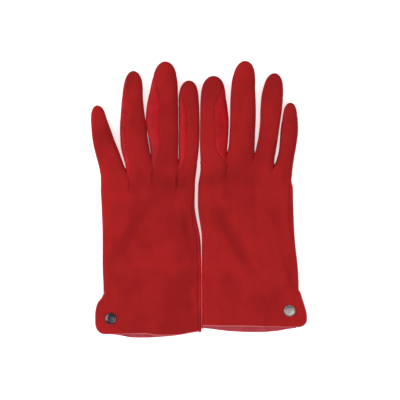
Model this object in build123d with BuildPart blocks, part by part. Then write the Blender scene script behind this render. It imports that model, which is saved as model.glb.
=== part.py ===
"""A pair of fitted leather gloves with touchscreen fingertips, lying flat with their backs up.

Each glove is a sewn shell of separate leather pieces over a lining: a back, a palm with a round
thumb hole, a back strip, a palm strip and side gussets (fourchettes) on every finger, a thumb, and
a cuff tab that closes a side vent with a snap. Fingers point along +Y, backs face +Z, and the
origin is under the middle of the pair. Plan places are measured from the middle line between the
gloves (x) and from the left glove's cuff edge (y), then moved to the origin by place().
"""

from build123d import *
import math
import os

# ---- driving dimensions, in millimetres -------------------------------------------------------

LEATHER = 0.9               # outer leather
LINING = 0.8                # knitted lining
GAP = 0.25                  # each of two neighbouring bodies stays this far from their border
WALL_MARGIN = 0.1           # so that a finger's own side wall is never trimmed away
ORIGIN = (0.8, 122.0)       # middle of the pair, in plan
LIFT = 0.6                  # the cuff stands on the snap's back plate, this thick

CUFF_HEIGHT = 8.8           # outside height of the closed cuff
PALM_HEIGHT = 11.0          # outside height of the hand above the folded thumb
PALM_BOTTOM = 9.2           # underside of the hand where the thumb lies beneath it
PALM_ROLL = 3.0             # degrees that the inner side is raised by the thumb
KNUCKLE_BOTTOM = 5.0        # underside of the hand at the finger roots
KNUCKLE_ROLL = 1.4
RISE_START, RISE_END = 42.0, 68.0      # where the underside climbs from the cuff to the thumb
DROP_START, DROP_END = 128.0, 152.0    # and where it falls again to the knuckles
BACK_SHORT = 3.0            # the back ends this far above the palm at the cuff
FACING_DEPTH = 22.0         # leather band inside the cuff

FINGER_HEIGHT = 11.0
FINGER_START = -13.0        # a finger's form begins behind its root line, and is trimmed to it
GUSSET_ROOT, GUSSET_TIP = 2.7, 1.0     # half height of a fourchette at its two ends
GUSSET_END = 0.92           # fraction of the finger where a fourchette runs out

THUMB_LENGTH = 52.0         # thumb hole centre to thumb tip
THUMB_HEIGHT = 8.4
THUMB_LEAN = 22.0           # degrees that the folded thumb points away from the other glove
COLLAR_RADIUS = 10.6        # the thumb's sewn collar in the round thumb hole
COLLAR_GAP = 0.4

CAP_RADIUS, CAP_HEIGHT = 5.1, 1.5
SOCKET_RADIUS, SOCKET_HEIGHT, SOCKET_BORE = 4.6, 1.9, 2.7
STUD_RADIUS, STUD_HEIGHT = 1.9, 2.0
FLANGE_RADIUS, FLANGE_THICKNESS = 4.2, 0.5
STEM_RADIUS = 1.3

# Section heights along a finger, as (fraction of its length, share of the full height).
FINGER_SECTIONS = ((0.0, 1.0), (0.3, 1.0), (0.6, 0.96), (0.85, 0.86))
# The rounded tip: (fraction of the length, share of the last width, share of the full height).
TIP_SECTIONS = ((0.92, 0.86, 0.76), (0.965, 0.62, 0.56), (0.99, 0.36, 0.32), (1.0, 0.16, 0.14))
THUMB_SECTIONS = ((-13.0, 10.0, 3.2), (-11.0, 18.0, 6.2), (-6.0, 24.0, 8.2), (3.0, 25.5, 8.4),
                  (16.0, 24.0, 8.4), (30.0, 21.5, 8.4), (41.0, 18.5, 7.8), (47.5, 14.0, 6.0),
                  (50.8, 8.0, 3.6), (52.0, 3.4, 1.6))

# One record per glove. "outer" is the sign of x on the little finger's side. The root points run
# from -X to +X along the knuckles. A border leaves each root point at the given lean, in degrees
# from +Y towards +X, and keeps neighbouring fingers apart. A finger's halves are its extents to
# the left and right of the line from its root middle to its tip, at the sections past the root.
GLOVES = {
    "left": dict(
        outer=-1, cuff=0.0, thumb=(-16.5, 82.0),
        roots=((-86.4, 146.9), (-60.5, 141.1), (-39.2, 151.2), (-16.7, 146.0), (-0.1, 151.3)),
        borders=(-25.0, -17.5, -8.8, 0.0, 4.0),
        fingers=dict(
            little=dict(tip=(-89.5, 204.9), left=(11.4, 10.5, 8.4), right=(9.4, 7.2, 5.0)),
            ring=dict(tip=(-57.1, 235.5), left=(15.6, 13.5, 10.5), right=(8.5, 7.1, 6.7)),
            middle=dict(tip=(-28.5, 243.9), left=(14.4, 16.0, 11.4), right=(10.6, 10.6, 9.6)),
            index=dict(tip=(-7.5, 227.1), left=(8.0, 8.2, 8.4), right=(9.4, 9.2, 7.9))),
        edges=((-6.0, -82.6, 3.2), (20.0, -82.8, 3.2), (42.0, -83.2, 3.2), (68.0, -83.7, 3.2),
               (88.0, -83.7, 2.4), (117.0, -84.6, -2.4), (136.0, -85.8, -1.8), (166.0, -86.8, 0.6)),
        vent_top=(-82.4, 40.6), vent_foot=(-58.9, 3.0), tab_low=(-90.6, 2.7), tab_high=(-90.8, 31.0),
        snap=(-76.6, 16.7)),
    "right": dict(
        outer=1, cuff=5.0, thumb=(20.5, 85.0),
        roots=((2.2, 154.9), (24.8, 154.9), (48.7, 154.4), (65.6, 146.5), (83.5, 150.4)),
        borders=(-4.0, 4.2, 8.0, 12.0, 25.0),
        fingers=dict(
            index=dict(tip=(14.2, 231.1), left=(11.2, 11.2, 10.4), right=(12.2, 12.8, 9.9)),
            middle=dict(tip=(42.5, 244.4), left=(10.4, 11.3, 10.5), right=(12.4, 11.3, 8.9)),
            ring=dict(tip=(68.7, 233.5), left=(7.2, 8.2, 8.2), right=(10.0, 10.4, 8.9)),
            little=dict(tip=(82.6, 207.4), left=(5.4, 6.1, 5.2), right=(9.4, 9.4, 6.8))),
        edges=((-6.0, 4.2, 89.0), (20.0, 4.2, 89.4), (42.0, 4.2, 89.5), (62.0, 4.2, 88.5),
               (86.0, 4.0, 85.8), (118.0, 0.2, 84.4), (138.0, 0.8, 84.2), (168.0, 2.6, 84.6)),
        vent_top=(89.3, 42.4), vent_foot=(58.0, 9.4), tab_low=(97.6, 8.8), tab_high=(93.6, 35.0),
        snap=(81.1, 23.6)),
}
FINGER_ORDER = dict(left=("little", "ring", "middle", "index"), right=("index", "middle", "ring", "little"))
# The underside of each finger's root, higher on the thumb's side, where the hand is raised.
ROOT_BOTTOM = dict(index=5.7, middle=5.2, ring=4.7, little=4.2)

SKY, GROUND = 45.0, -5.0    # a height above and a depth below everything, for cutting forms
FAR = 150.0                 # a plan distance beyond everything


def place(x, y):
    """Move a plan point, measured from the cuff edge and the middle line, to the origin."""
    return (x - ORIGIN[0], y - ORIGIN[1])


def smooth(value):
    """A smooth step from 0 to 1 as the value goes from 0 to 1."""
    value = min(1.0, max(0.0, value))
    return value * value * (3.0 - 2.0 * value)


def between(table, y, column):
    """Read a column of a table of rows that start with y, in straight steps between its rows."""
    for low, high in zip(table, table[1:]):
        if y <= high[0]:
            share = (y - low[0]) / (high[0] - low[0])
            return low[column] + share * (high[column] - low[column])
    return table[-1][column]


def prism(points, low=GROUND, high=SKY, shrink=0.0):
    """An upright block over a plan outline, drawn in from its border by shrink."""
    with BuildPart() as block:
        with BuildSketch(Plane.XY.offset(low)):
            with BuildLine():
                Polyline(*points, close=True)
            make_face()
            if shrink:
                offset(amount=-shrink, kind=Kind.INTERSECTION)
        extrude(amount=high - low)
    return block.part


def oval_loft(sections, half=0):
    """A form lofted through flat ovals (plane, width, height), or their upper or lower halves."""
    with BuildPart() as form:
        for plane, width, height in sections:
            with BuildSketch(plane):
                SlotOverall(width, height)
                if half:
                    with Locations((0, half * height)):
                        Rectangle(2 * width, 2 * height, mode=Mode.INTERSECT)
        loft(ruled=True)
    return form.part


def cut_down(form, *keep, without=()):
    """What is left of a form inside every block of keep and outside every block of without."""
    with BuildPart() as piece:
        add(form)
        for block in keep:
            add(block, mode=Mode.INTERSECT)
        for block in without:
            add(block, mode=Mode.SUBTRACT)
    return piece.part


def save(part, name):
    """Label a finished piece and write its STEP file."""
    part.label = name
    export_step(part, f"parts/{name}.step")
    print(f"{name:24s} {len(part.solids())} solid(s) {part.volume:9.1f} mm3")


# ---- the hand ---------------------------------------------------------------------------------

def hand_level(y):
    """The hand's underside, height and roll at a distance above the cuff."""
    rise = smooth((y - RISE_START) / (RISE_END - RISE_START))
    drop = smooth((y - DROP_START) / (DROP_END - DROP_START))
    bottom = LIFT + rise * (PALM_BOTTOM - LIFT) - drop * (PALM_BOTTOM - KNUCKLE_BOTTOM)
    height = CUFF_HEIGHT + rise * (PALM_HEIGHT - CUFF_HEIGHT)
    roll = rise * PALM_ROLL - drop * (PALM_ROLL - KNUCKLE_ROLL)
    return bottom, height, roll


def hand_sections(glove, inset):
    """Flat-oval sections of the hand, from below the cuff to beyond the knuckles."""
    sections = []
    for y in (-6, 8, 22, 34, 42, 48, 55, 62, 68, 80, 95, 112, 128, 136, 144, 152, 164):
        left, right = between(glove["edges"], y, 1), between(glove["edges"], y, 2)
        bottom, height, roll = hand_level(y)
        roll = math.radians(-glove["outer"] * roll)
        middle = place((left + right) / 2, y)
        plane = Plane(origin=(*middle, bottom + height / 2),
                      x_dir=(math.cos(roll), 0, math.sin(roll)), z_dir=(0, -1, 0))
        sections.append((plane, right - left - 2 * inset, height - 2 * inset))
    return sections


def hand_zone(glove, cuff):
    """The block that holds the hand, from its cuff edge to the line of the finger roots."""
    roots = [place(*root) for root in glove["roots"]]
    low = place(0, cuff - GAP)[1]
    outline = [(-FAR, roots[0][1]), *roots, (FAR, roots[-1][1]), (FAR, low), (-FAR, low)]
    return prism(outline, shrink=GAP)


def tab_outline(glove):
    """Plan corners of the cuff tab: the vent's top and foot, then the two outer corners."""
    return [place(*glove[name]) for name in ("vent_top", "vent_foot", "tab_low", "tab_high")]


def vent_block(glove, low):
    """The corner of the cuff outside the vent line, above a height."""
    top, foot = place(*glove["vent_top"]), place(*glove["vent_foot"])
    out = glove["outer"] * FAR
    run = ((foot[0] - top[0]) / 3, (foot[1] - top[1]) / 3)
    outline = [top, (foot[0] + run[0], foot[1] + run[1]), (out, foot[1] + run[1]), (out, top[1])]
    return prism(outline, low=low)


def thumb_bore(glove, radius):
    """An upright round bar through the thumb hole."""
    with BuildPart() as bar:
        with Locations((*place(*glove["thumb"]), 0)):
            Cylinder(radius, SKY, align=(Align.CENTER, Align.CENTER, Align.MIN))
    return bar.part


def build_hand(side, glove):
    """The back, palm, lining and cuff facing of one glove."""
    outer = hand_sections(glove, 0)
    within_leather = oval_loft(hand_sections(glove, LEATHER))
    within_lining = oval_loft(hand_sections(glove, LEATHER + LINING))
    vent = vent_block(glove, GROUND)
    above_palm = vent_block(glove, LIFT + LEATHER + LINING)
    hole = thumb_bore(glove, COLLAR_RADIUS + COLLAR_GAP)
    low_half = oval_loft(outer, -1)
    thumb_hole = cut_down(hole, low_half)
    post_hole = snap_bar(glove, STEM_RADIUS)

    back_zone = hand_zone(glove, glove["cuff"] + BACK_SHORT)
    back = cut_down(oval_loft(outer, 1), back_zone, without=(within_leather, vent))
    save(back, f"{side}_back_panel")

    palm_zone = hand_zone(glove, glove["cuff"])
    palm = cut_down(low_half, palm_zone, without=(within_leather, above_palm, thumb_hole, post_hole))
    save(palm, f"{side}_palm_panel")

    facing_top = place(0, glove["cuff"] + FACING_DEPTH)[1]
    cuff_end = prism([(-FAR, -2 * FAR), (FAR, -2 * FAR), (FAR, facing_top), (-FAR, facing_top)])
    layer = cut_down(within_leather, back_zone, without=(within_lining, above_palm, post_hole))
    save(cut_down(layer, cuff_end), f"{side}_cuff_facing")
    save(cut_down(layer, without=(cuff_end, thumb_hole)), f"{side}_hand_lining")


# ---- the fingers ------------------------------------------------------------------------------

class Finger:
    """The line of a finger from its root middle to its tip, with its own directions."""

    def __init__(self, glove, index, name, data):
        self.name, self.data = name, data
        self.root = [place(*glove["roots"][index]), place(*glove["roots"][index + 1])]
        self.borders = glove["borders"][index:index + 2]
        self.middle = [(a + b) / 2 for a, b in zip(*self.root)]
        tip = place(*data["tip"])
        run = (tip[0] - self.middle[0], tip[1] - self.middle[1])
        self.length = math.hypot(*run)
        self.along = (run[0] / self.length, run[1] / self.length)
        self.across = (self.along[1], -self.along[0])
        # A gusset is sewn in wherever a finger faces another finger.
        self.gusset_sides = [sign for sign, edge in ((-1, index > 0), (1, index < 3)) if edge]

    def floor(self, fraction):
        """Height of the finger's underside, which comes down to the table before the tip."""
        return ROOT_BOTTOM[self.name] * (1 - smooth(max(fraction, 0) / 0.8)) if fraction < 0.8 else 0.0

    def centre_height(self, fraction):
        """Height of the finger's middle line."""
        share = between(FINGER_SECTIONS, min(max(fraction, 0), 0.85), 1)
        return self.floor(fraction) + share * FINGER_HEIGHT / 2

    def root_half(self, end):
        """The finger's extent at its root, up to the border that it shares with its neighbour."""
        offset = [r - m for r, m in zip(self.root[end], self.middle)]
        return abs(offset[0] * self.across[0] + offset[1] * self.across[1]) - GAP - WALL_MARGIN

    def section(self, distance, left, right, height, fraction, inset):
        """A flat-oval section across the finger at a distance from its root line."""
        shift = (right - left) / 2
        origin = [m + distance * a + shift * c for m, a, c in zip(self.middle, self.along, self.across)]
        plane = Plane(origin=(*origin, self.centre_height(fraction)), x_dir=(*self.across, 0),
                      z_dir=(-self.along[0], -self.along[1], 0))
        return plane, left + right - 2 * inset, height - 2 * inset

    def sections(self, inset):
        """All the sections, from behind the root to the tip."""
        left = (self.root_half(0), *self.data["left"])
        right = (self.root_half(1), *self.data["right"])
        result = [self.section(FINGER_START, left[0], right[0], FINGER_HEIGHT, 0.0, inset)]
        for i, (fraction, share) in enumerate(FINGER_SECTIONS):
            height = share * FINGER_HEIGHT
            result.append(self.section(fraction * self.length, left[i], right[i], height, fraction, inset))
        reach = self.length - inset
        for fraction, width_share, height_share in TIP_SECTIONS:
            height = height_share * FINGER_HEIGHT - 2 * inset * (fraction < 0.98)
            wide = width_share - 2 * inset * (fraction < 0.98) / (left[3] + right[3])
            distance = fraction * reach
            result.append(self.section(distance, left[3] * wide, right[3] * wide, height, 0.85, 0))
        return result

    def zone(self):
        """The upright block that this finger keeps to, between its borders."""
        ends = []
        for root, lean in zip(self.root, self.borders):
            lean = math.radians(lean)
            ends.append((root[0] + FAR * math.sin(lean), root[1] + FAR * math.cos(lean)))
        return prism([self.root[0], self.root[1], ends[1], ends[0]], shrink=GAP)

    def side_block(self, lower, upper, width, sign=0, last=1.05):
        """A block between two lines in the finger's side view, on one side or on both."""
        plane = Plane(origin=(*self.middle, 0), x_dir=(*self.along, 0), z_dir=(*self.across, 0))
        fractions = [-0.4, 0.0, 0.15, 0.3, 0.45, 0.6, 0.8, 0.85, last]
        line = [(f * self.length, lower(f)) for f in fractions]
        line += [(f * self.length, upper(f)) for f in reversed(fractions)]
        with BuildPart() as block:
            with BuildSketch(plane):
                with BuildLine():
                    Polyline(*line, close=True)
                make_face()
            extrude(amount=width * (sign or 1), both=not sign)
        return block.part


def gusset_half(fraction):
    """Half height of a fourchette, which narrows towards the fingertip."""
    share = min(1.0, max(0.0, fraction) / GUSSET_END)
    return GUSSET_ROOT + share * (GUSSET_TIP - GUSSET_ROOT)


def pad_block(centre, along, length, width, high):
    """An upright oval block, for the conductive pad under a fingertip."""
    plane = Plane(origin=(*centre, GROUND), x_dir=(*along, 0), z_dir=(0, 0, 1))
    with BuildPart() as block:
        with BuildSketch(plane):
            Ellipse(length / 2, width / 2)
        extrude(amount=high - GROUND)
    return block.part


def build_finger(side, finger):
    """Back strip, palm strip, fourchettes and lining of one finger, and the index finger's pad."""
    name = f"{side}_{finger.name}"
    zone = finger.zone()
    within_leather = oval_loft(finger.sections(LEATHER))
    shell = cut_down(oval_loft(finger.sections(0)), zone, without=(within_leather,))
    middle = finger.centre_height
    above = finger.side_block(middle, lambda f: SKY, 40)
    below = finger.side_block(lambda f: GROUND, middle, 40)
    gussets = [finger.side_block(lambda f: middle(f) - gusset_half(f), lambda f: middle(f) + gusset_half(f),
                                 40, sign, GUSSET_END) for sign in finger.gusset_sides]

    save(cut_down(shell, above, without=gussets), f"{name}_back")
    palm_strip = cut_down(shell, below, without=gussets)
    if finger.name == "index":
        centre = [m + 0.84 * finger.length * a for m, a in zip(finger.middle, finger.along)]
        pad_area = pad_block(centre, finger.along, 15.0, 9.0, 3.0)
        save(cut_down(palm_strip, pad_area), f"{name}_touch_pad")
        palm_strip = cut_down(palm_strip, without=(pad_area,))
    save(palm_strip, f"{name}_palm")

    with BuildPart() as fourchettes:
        for gusset in gussets:
            add(cut_down(shell, gusset))
    save(fourchettes.part, f"{name}_fourchettes")
    lining = cut_down(within_leather, zone, without=(oval_loft(finger.sections(LEATHER + LINING)),))
    save(lining, f"{name}_lining")


# ---- the thumb --------------------------------------------------------------------------------

def thumb_form(glove, inset, radius):
    """The folded thumb with its collar, drawn in by inset; radius is the collar's."""
    lean = math.radians(glove["outer"] * THUMB_LEAN)
    along, across = (math.sin(lean), math.cos(lean)), (math.cos(lean), -math.sin(lean))
    base = place(*glove["thumb"])
    sections = []
    for distance, width, height in THUMB_SECTIONS:
        if height <= 2 * inset + 0.4:
            continue
        pull = inset if abs(distance) > 40 or distance < -8 else 0.0
        distance -= math.copysign(pull, distance)
        plane = Plane(origin=(base[0] + distance * along[0], base[1] + distance * along[1], THUMB_HEIGHT / 2),
                      x_dir=(*across, 0), z_dir=(-along[0], -along[1], 0))
        sections.append((plane, width - 2 * inset, height - 2 * inset))
    top = hand_level(glove["thumb"][1])[0] + LEATHER + LINING + 1.6
    with BuildPart() as form:
        add(oval_loft(sections))
        with Locations((*base, THUMB_HEIGHT / 2)):
            Cylinder(radius, top - THUMB_HEIGHT / 2, align=(Align.CENTER, Align.CENTER, Align.MIN))
    return form.part


def build_thumb(side, glove):
    """Shell, lining and touch pad of one thumb."""
    lean = math.radians(glove["outer"] * THUMB_LEAN)
    along, base = (math.sin(lean), math.cos(lean)), place(*glove["thumb"])
    within_leather = thumb_form(glove, LEATHER, COLLAR_RADIUS - LEATHER)
    within_lining = thumb_form(glove, LEATHER + LINING * 0.85, COLLAR_RADIUS - LEATHER - LINING)
    shell = cut_down(thumb_form(glove, 0, COLLAR_RADIUS), without=(within_leather,))
    pad_area = pad_block([b + 0.76 * THUMB_LENGTH * a for b, a in zip(base, along)], along, 15.0, 9.0, 2.6)
    save(cut_down(shell, pad_area), f"{side}_thumb_touch_pad")
    save(cut_down(shell, without=(pad_area,)), f"{side}_thumb_shell")
    save(cut_down(within_leather, without=(within_lining,)), f"{side}_thumb_lining")


# ---- the cuff tab and its snap ----------------------------------------------------------------

def snap_bar(glove, radius):
    """An upright bar through the snap's centre."""
    with BuildPart() as bar:
        with Locations((*place(*glove["snap"]), GROUND)):
            Cylinder(radius, SKY, align=(Align.CENTER, Align.CENTER, Align.MIN))
    return bar.part


def tab_plane(glove):
    """The tab's upper face: it hangs from the vent line and slopes down to its outer corner."""
    top, foot, low = [Vector(*point) for point in tab_outline(glove)[:3]]
    top, foot, low = top + Vector(0, 0, 6.5), foot + Vector(0, 0, 9.2), low + Vector(0, 0, 5.0)
    normal = (foot - top).cross(low - top)
    if normal.Z < 0:
        normal = -normal
    return Plane(origin=top, x_dir=foot - top, z_dir=normal)


def tab_layer(glove, upper, thickness, hole):
    """A sheet of the tab between two depths under its upper face, with a hole for the snap's stem."""
    plane = tab_plane(glove)
    with BuildPart() as layer:
        with BuildSketch(Plane.XY.offset(GROUND)) as outline:
            with BuildLine():
                Polyline(*tab_outline(glove), close=True)
            make_face()
            outer_corners = outline.vertices().sort_by(Axis.X)
            outer_corners = outer_corners[:2] if glove["outer"] < 0 else outer_corners[-2:]
            fillet(outer_corners, 8.0)
            offset(amount=-GAP, kind=Kind.INTERSECTION)
        extrude(amount=SKY)
        with BuildSketch(plane.offset(-upper)):
            Rectangle(2 * FAR, 2 * FAR)
        extrude(amount=-thickness, mode=Mode.INTERSECT)
        with BuildSketch(snap_plane(glove)):
            Circle(hole)
        extrude(amount=-10, mode=Mode.SUBTRACT)
    return layer.part


def snap_plane(glove):
    """The tab's upper face, with its origin at the snap's centre."""
    plane = tab_plane(glove)
    x, y = place(*glove["snap"])
    rise = (plane.origin.X - x) * plane.z_dir.X + (plane.origin.Y - y) * plane.z_dir.Y
    return Plane(origin=(x, y, plane.origin.Z + rise / plane.z_dir.Z), x_dir=plane.x_dir, z_dir=plane.z_dir)


def build_tab(side, glove):
    """The cuff tab, its facing, and the four parts of the snap."""
    plane = snap_plane(glove)
    save(tab_layer(glove, 0, LEATHER, STEM_RADIUS), f"{side}_cuff_tab")
    save(tab_layer(glove, LEATHER, LINING, STEM_RADIUS), f"{side}_tab_facing")

    depth = LEATHER + LINING
    with BuildPart() as cap:
        with BuildSketch(plane):
            Circle(CAP_RADIUS)
        extrude(amount=CAP_HEIGHT)
        fillet(cap.faces().sort_by(Axis.Z)[-1].edges(), 0.7)
        with BuildSketch(plane):
            Circle(STEM_RADIUS - 0.05)
        extrude(amount=-depth - 0.5)
    save(cap.part, f"{side}_snap_cap")

    with BuildPart() as socket:
        with BuildSketch(plane.offset(-depth)):
            Circle(SOCKET_RADIUS)
            Circle(STEM_RADIUS, mode=Mode.SUBTRACT)
        extrude(amount=-0.6)
        with BuildSketch(plane.offset(-depth - 0.6)):
            Circle(SOCKET_RADIUS)
            Circle(SOCKET_BORE, mode=Mode.SUBTRACT)
        extrude(amount=-(SOCKET_HEIGHT - 0.6))
    save(socket.part, f"{side}_snap_socket")

    centre = place(*glove["snap"])
    inside = LIFT + LEATHER + LINING
    with BuildPart() as stud:
        with Locations((*centre, inside)):
            Cylinder(FLANGE_RADIUS, FLANGE_THICKNESS, align=(Align.CENTER, Align.CENTER, Align.MIN))
            Cylinder(STUD_RADIUS, STUD_HEIGHT, align=(Align.CENTER, Align.CENTER, Align.MIN))
        fillet(stud.faces().sort_by(Axis.Z)[-1].edges(), 0.6)
        with Locations((*centre, inside)):
            Cylinder(STEM_RADIUS, 1.2, align=(Align.CENTER, Align.CENTER, Align.MIN), mode=Mode.SUBTRACT)
    save(stud.part, f"{side}_snap_stud")

    with BuildPart() as post:
        with Locations((*centre, 0)):
            Cylinder(FLANGE_RADIUS, LIFT, align=(Align.CENTER, Align.CENTER, Align.MIN))
            Cylinder(STEM_RADIUS - 0.05, inside + 1.0, align=(Align.CENTER, Align.CENTER, Align.MIN))
    save(post.part, f"{side}_snap_post")


os.makedirs("parts", exist_ok=True)
for side, glove in GLOVES.items():
    build_hand(side, glove)
    for index, name in enumerate(FINGER_ORDER[side]):
        build_finger(side, Finger(glove, index, name, glove["fingers"][name]))
    build_thumb(side, glove)
    build_tab(side, glove)
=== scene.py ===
# %% [markdown]
# # A pair of red suede and leather gloves
# The gloves lie flat with their backs up. Each real glove is cut from flat leather: one piece for
# the back, one for the palm, narrow side gussets (fourchettes) between the fingers, a thumb, and a
# tab that snaps over a slit at the cuff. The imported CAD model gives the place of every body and
# hinge. This script gives each sewn piece its real surface and finish, in metres, in that frame.

# %% load the frame
import math

import bmesh
import bpy
import numpy as np
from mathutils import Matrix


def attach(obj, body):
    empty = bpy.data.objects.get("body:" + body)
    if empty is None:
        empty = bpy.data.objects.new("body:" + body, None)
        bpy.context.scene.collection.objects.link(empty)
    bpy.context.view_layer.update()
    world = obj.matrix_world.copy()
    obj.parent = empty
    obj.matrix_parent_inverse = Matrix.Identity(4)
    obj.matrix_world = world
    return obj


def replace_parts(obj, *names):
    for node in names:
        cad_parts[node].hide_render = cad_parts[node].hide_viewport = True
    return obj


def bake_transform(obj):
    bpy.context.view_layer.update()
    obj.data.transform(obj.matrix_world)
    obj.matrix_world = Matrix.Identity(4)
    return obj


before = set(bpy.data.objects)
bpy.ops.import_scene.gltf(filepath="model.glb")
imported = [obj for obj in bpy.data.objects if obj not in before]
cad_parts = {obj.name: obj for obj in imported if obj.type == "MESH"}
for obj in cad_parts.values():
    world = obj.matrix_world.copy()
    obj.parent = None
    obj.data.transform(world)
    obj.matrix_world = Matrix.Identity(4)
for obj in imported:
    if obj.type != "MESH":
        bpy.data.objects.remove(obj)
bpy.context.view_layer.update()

# %% [markdown]
# ## Camera first
# The pair is seen from straight above, so an upright camera with a long lens is all it takes. A
# long lens keeps the fingertips and the cuffs at one scale.

# %% camera
VIEW_WIDTH = 0.3544            # what the square picture spans at the height of the gloves
CAMERA_HEIGHT = 2.0
VIEW_CENTRE = (0.0014, -0.0006)

camera_data = bpy.data.cameras.new("camera")
camera_data.sensor_width = 36.0
camera_data.lens = camera_data.sensor_width * CAMERA_HEIGHT / VIEW_WIDTH


def put(name, data):
    """A new object in the scene, at the origin."""
    piece = bpy.data.objects.new(name, data)
    bpy.context.scene.collection.objects.link(piece)
    return piece


camera = put("camera", camera_data)
camera.location = (*VIEW_CENTRE, CAMERA_HEIGHT)
bpy.context.scene.camera = camera
print("lens", round(camera_data.lens, 1), "mm")

# %% [markdown]
# ## The pattern pieces' sizes
# A glover works from a few lengths: where each finger starts, where its tip is, how full it is on
# either side, and where the seams run. All lengths here are in millimetres, measured in plan from
# the middle line between the gloves and from the left cuff edge, as in the CAD model. A finger's
# fullness is given to the left and right of the line from its root middle to its tip.

# %% driving dimensions
MM = 0.001
ORIGIN = np.array([0.8, 122.0])         # the pair's middle, in plan
LEATHER = 0.9
LINING = 0.7
LIFT = 0.6                              # the snap's back plate under the cuff
CUFF_HEIGHT, PALM_HEIGHT, FINGER_HEIGHT = 8.8, 11.0, 11.0
PALM_BOTTOM, KNUCKLE_BOTTOM = 9.2, 5.0
PALM_ROLL, KNUCKLE_ROLL = 3.0, 1.4
RISE_START, RISE_END, DROP_START, DROP_END = 42.0, 68.0, 128.0, 152.0
ROOT_BOTTOM = dict(index=5.7, middle=5.2, ring=4.7, little=4.2)
THUMB_LEAN, COLLAR_RADIUS = 22.0, 10.6

FULLNESS = (0.0, 0.15, 0.30, 0.45, 0.60, 0.75, 0.86)    # where along a finger its sides are given
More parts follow.
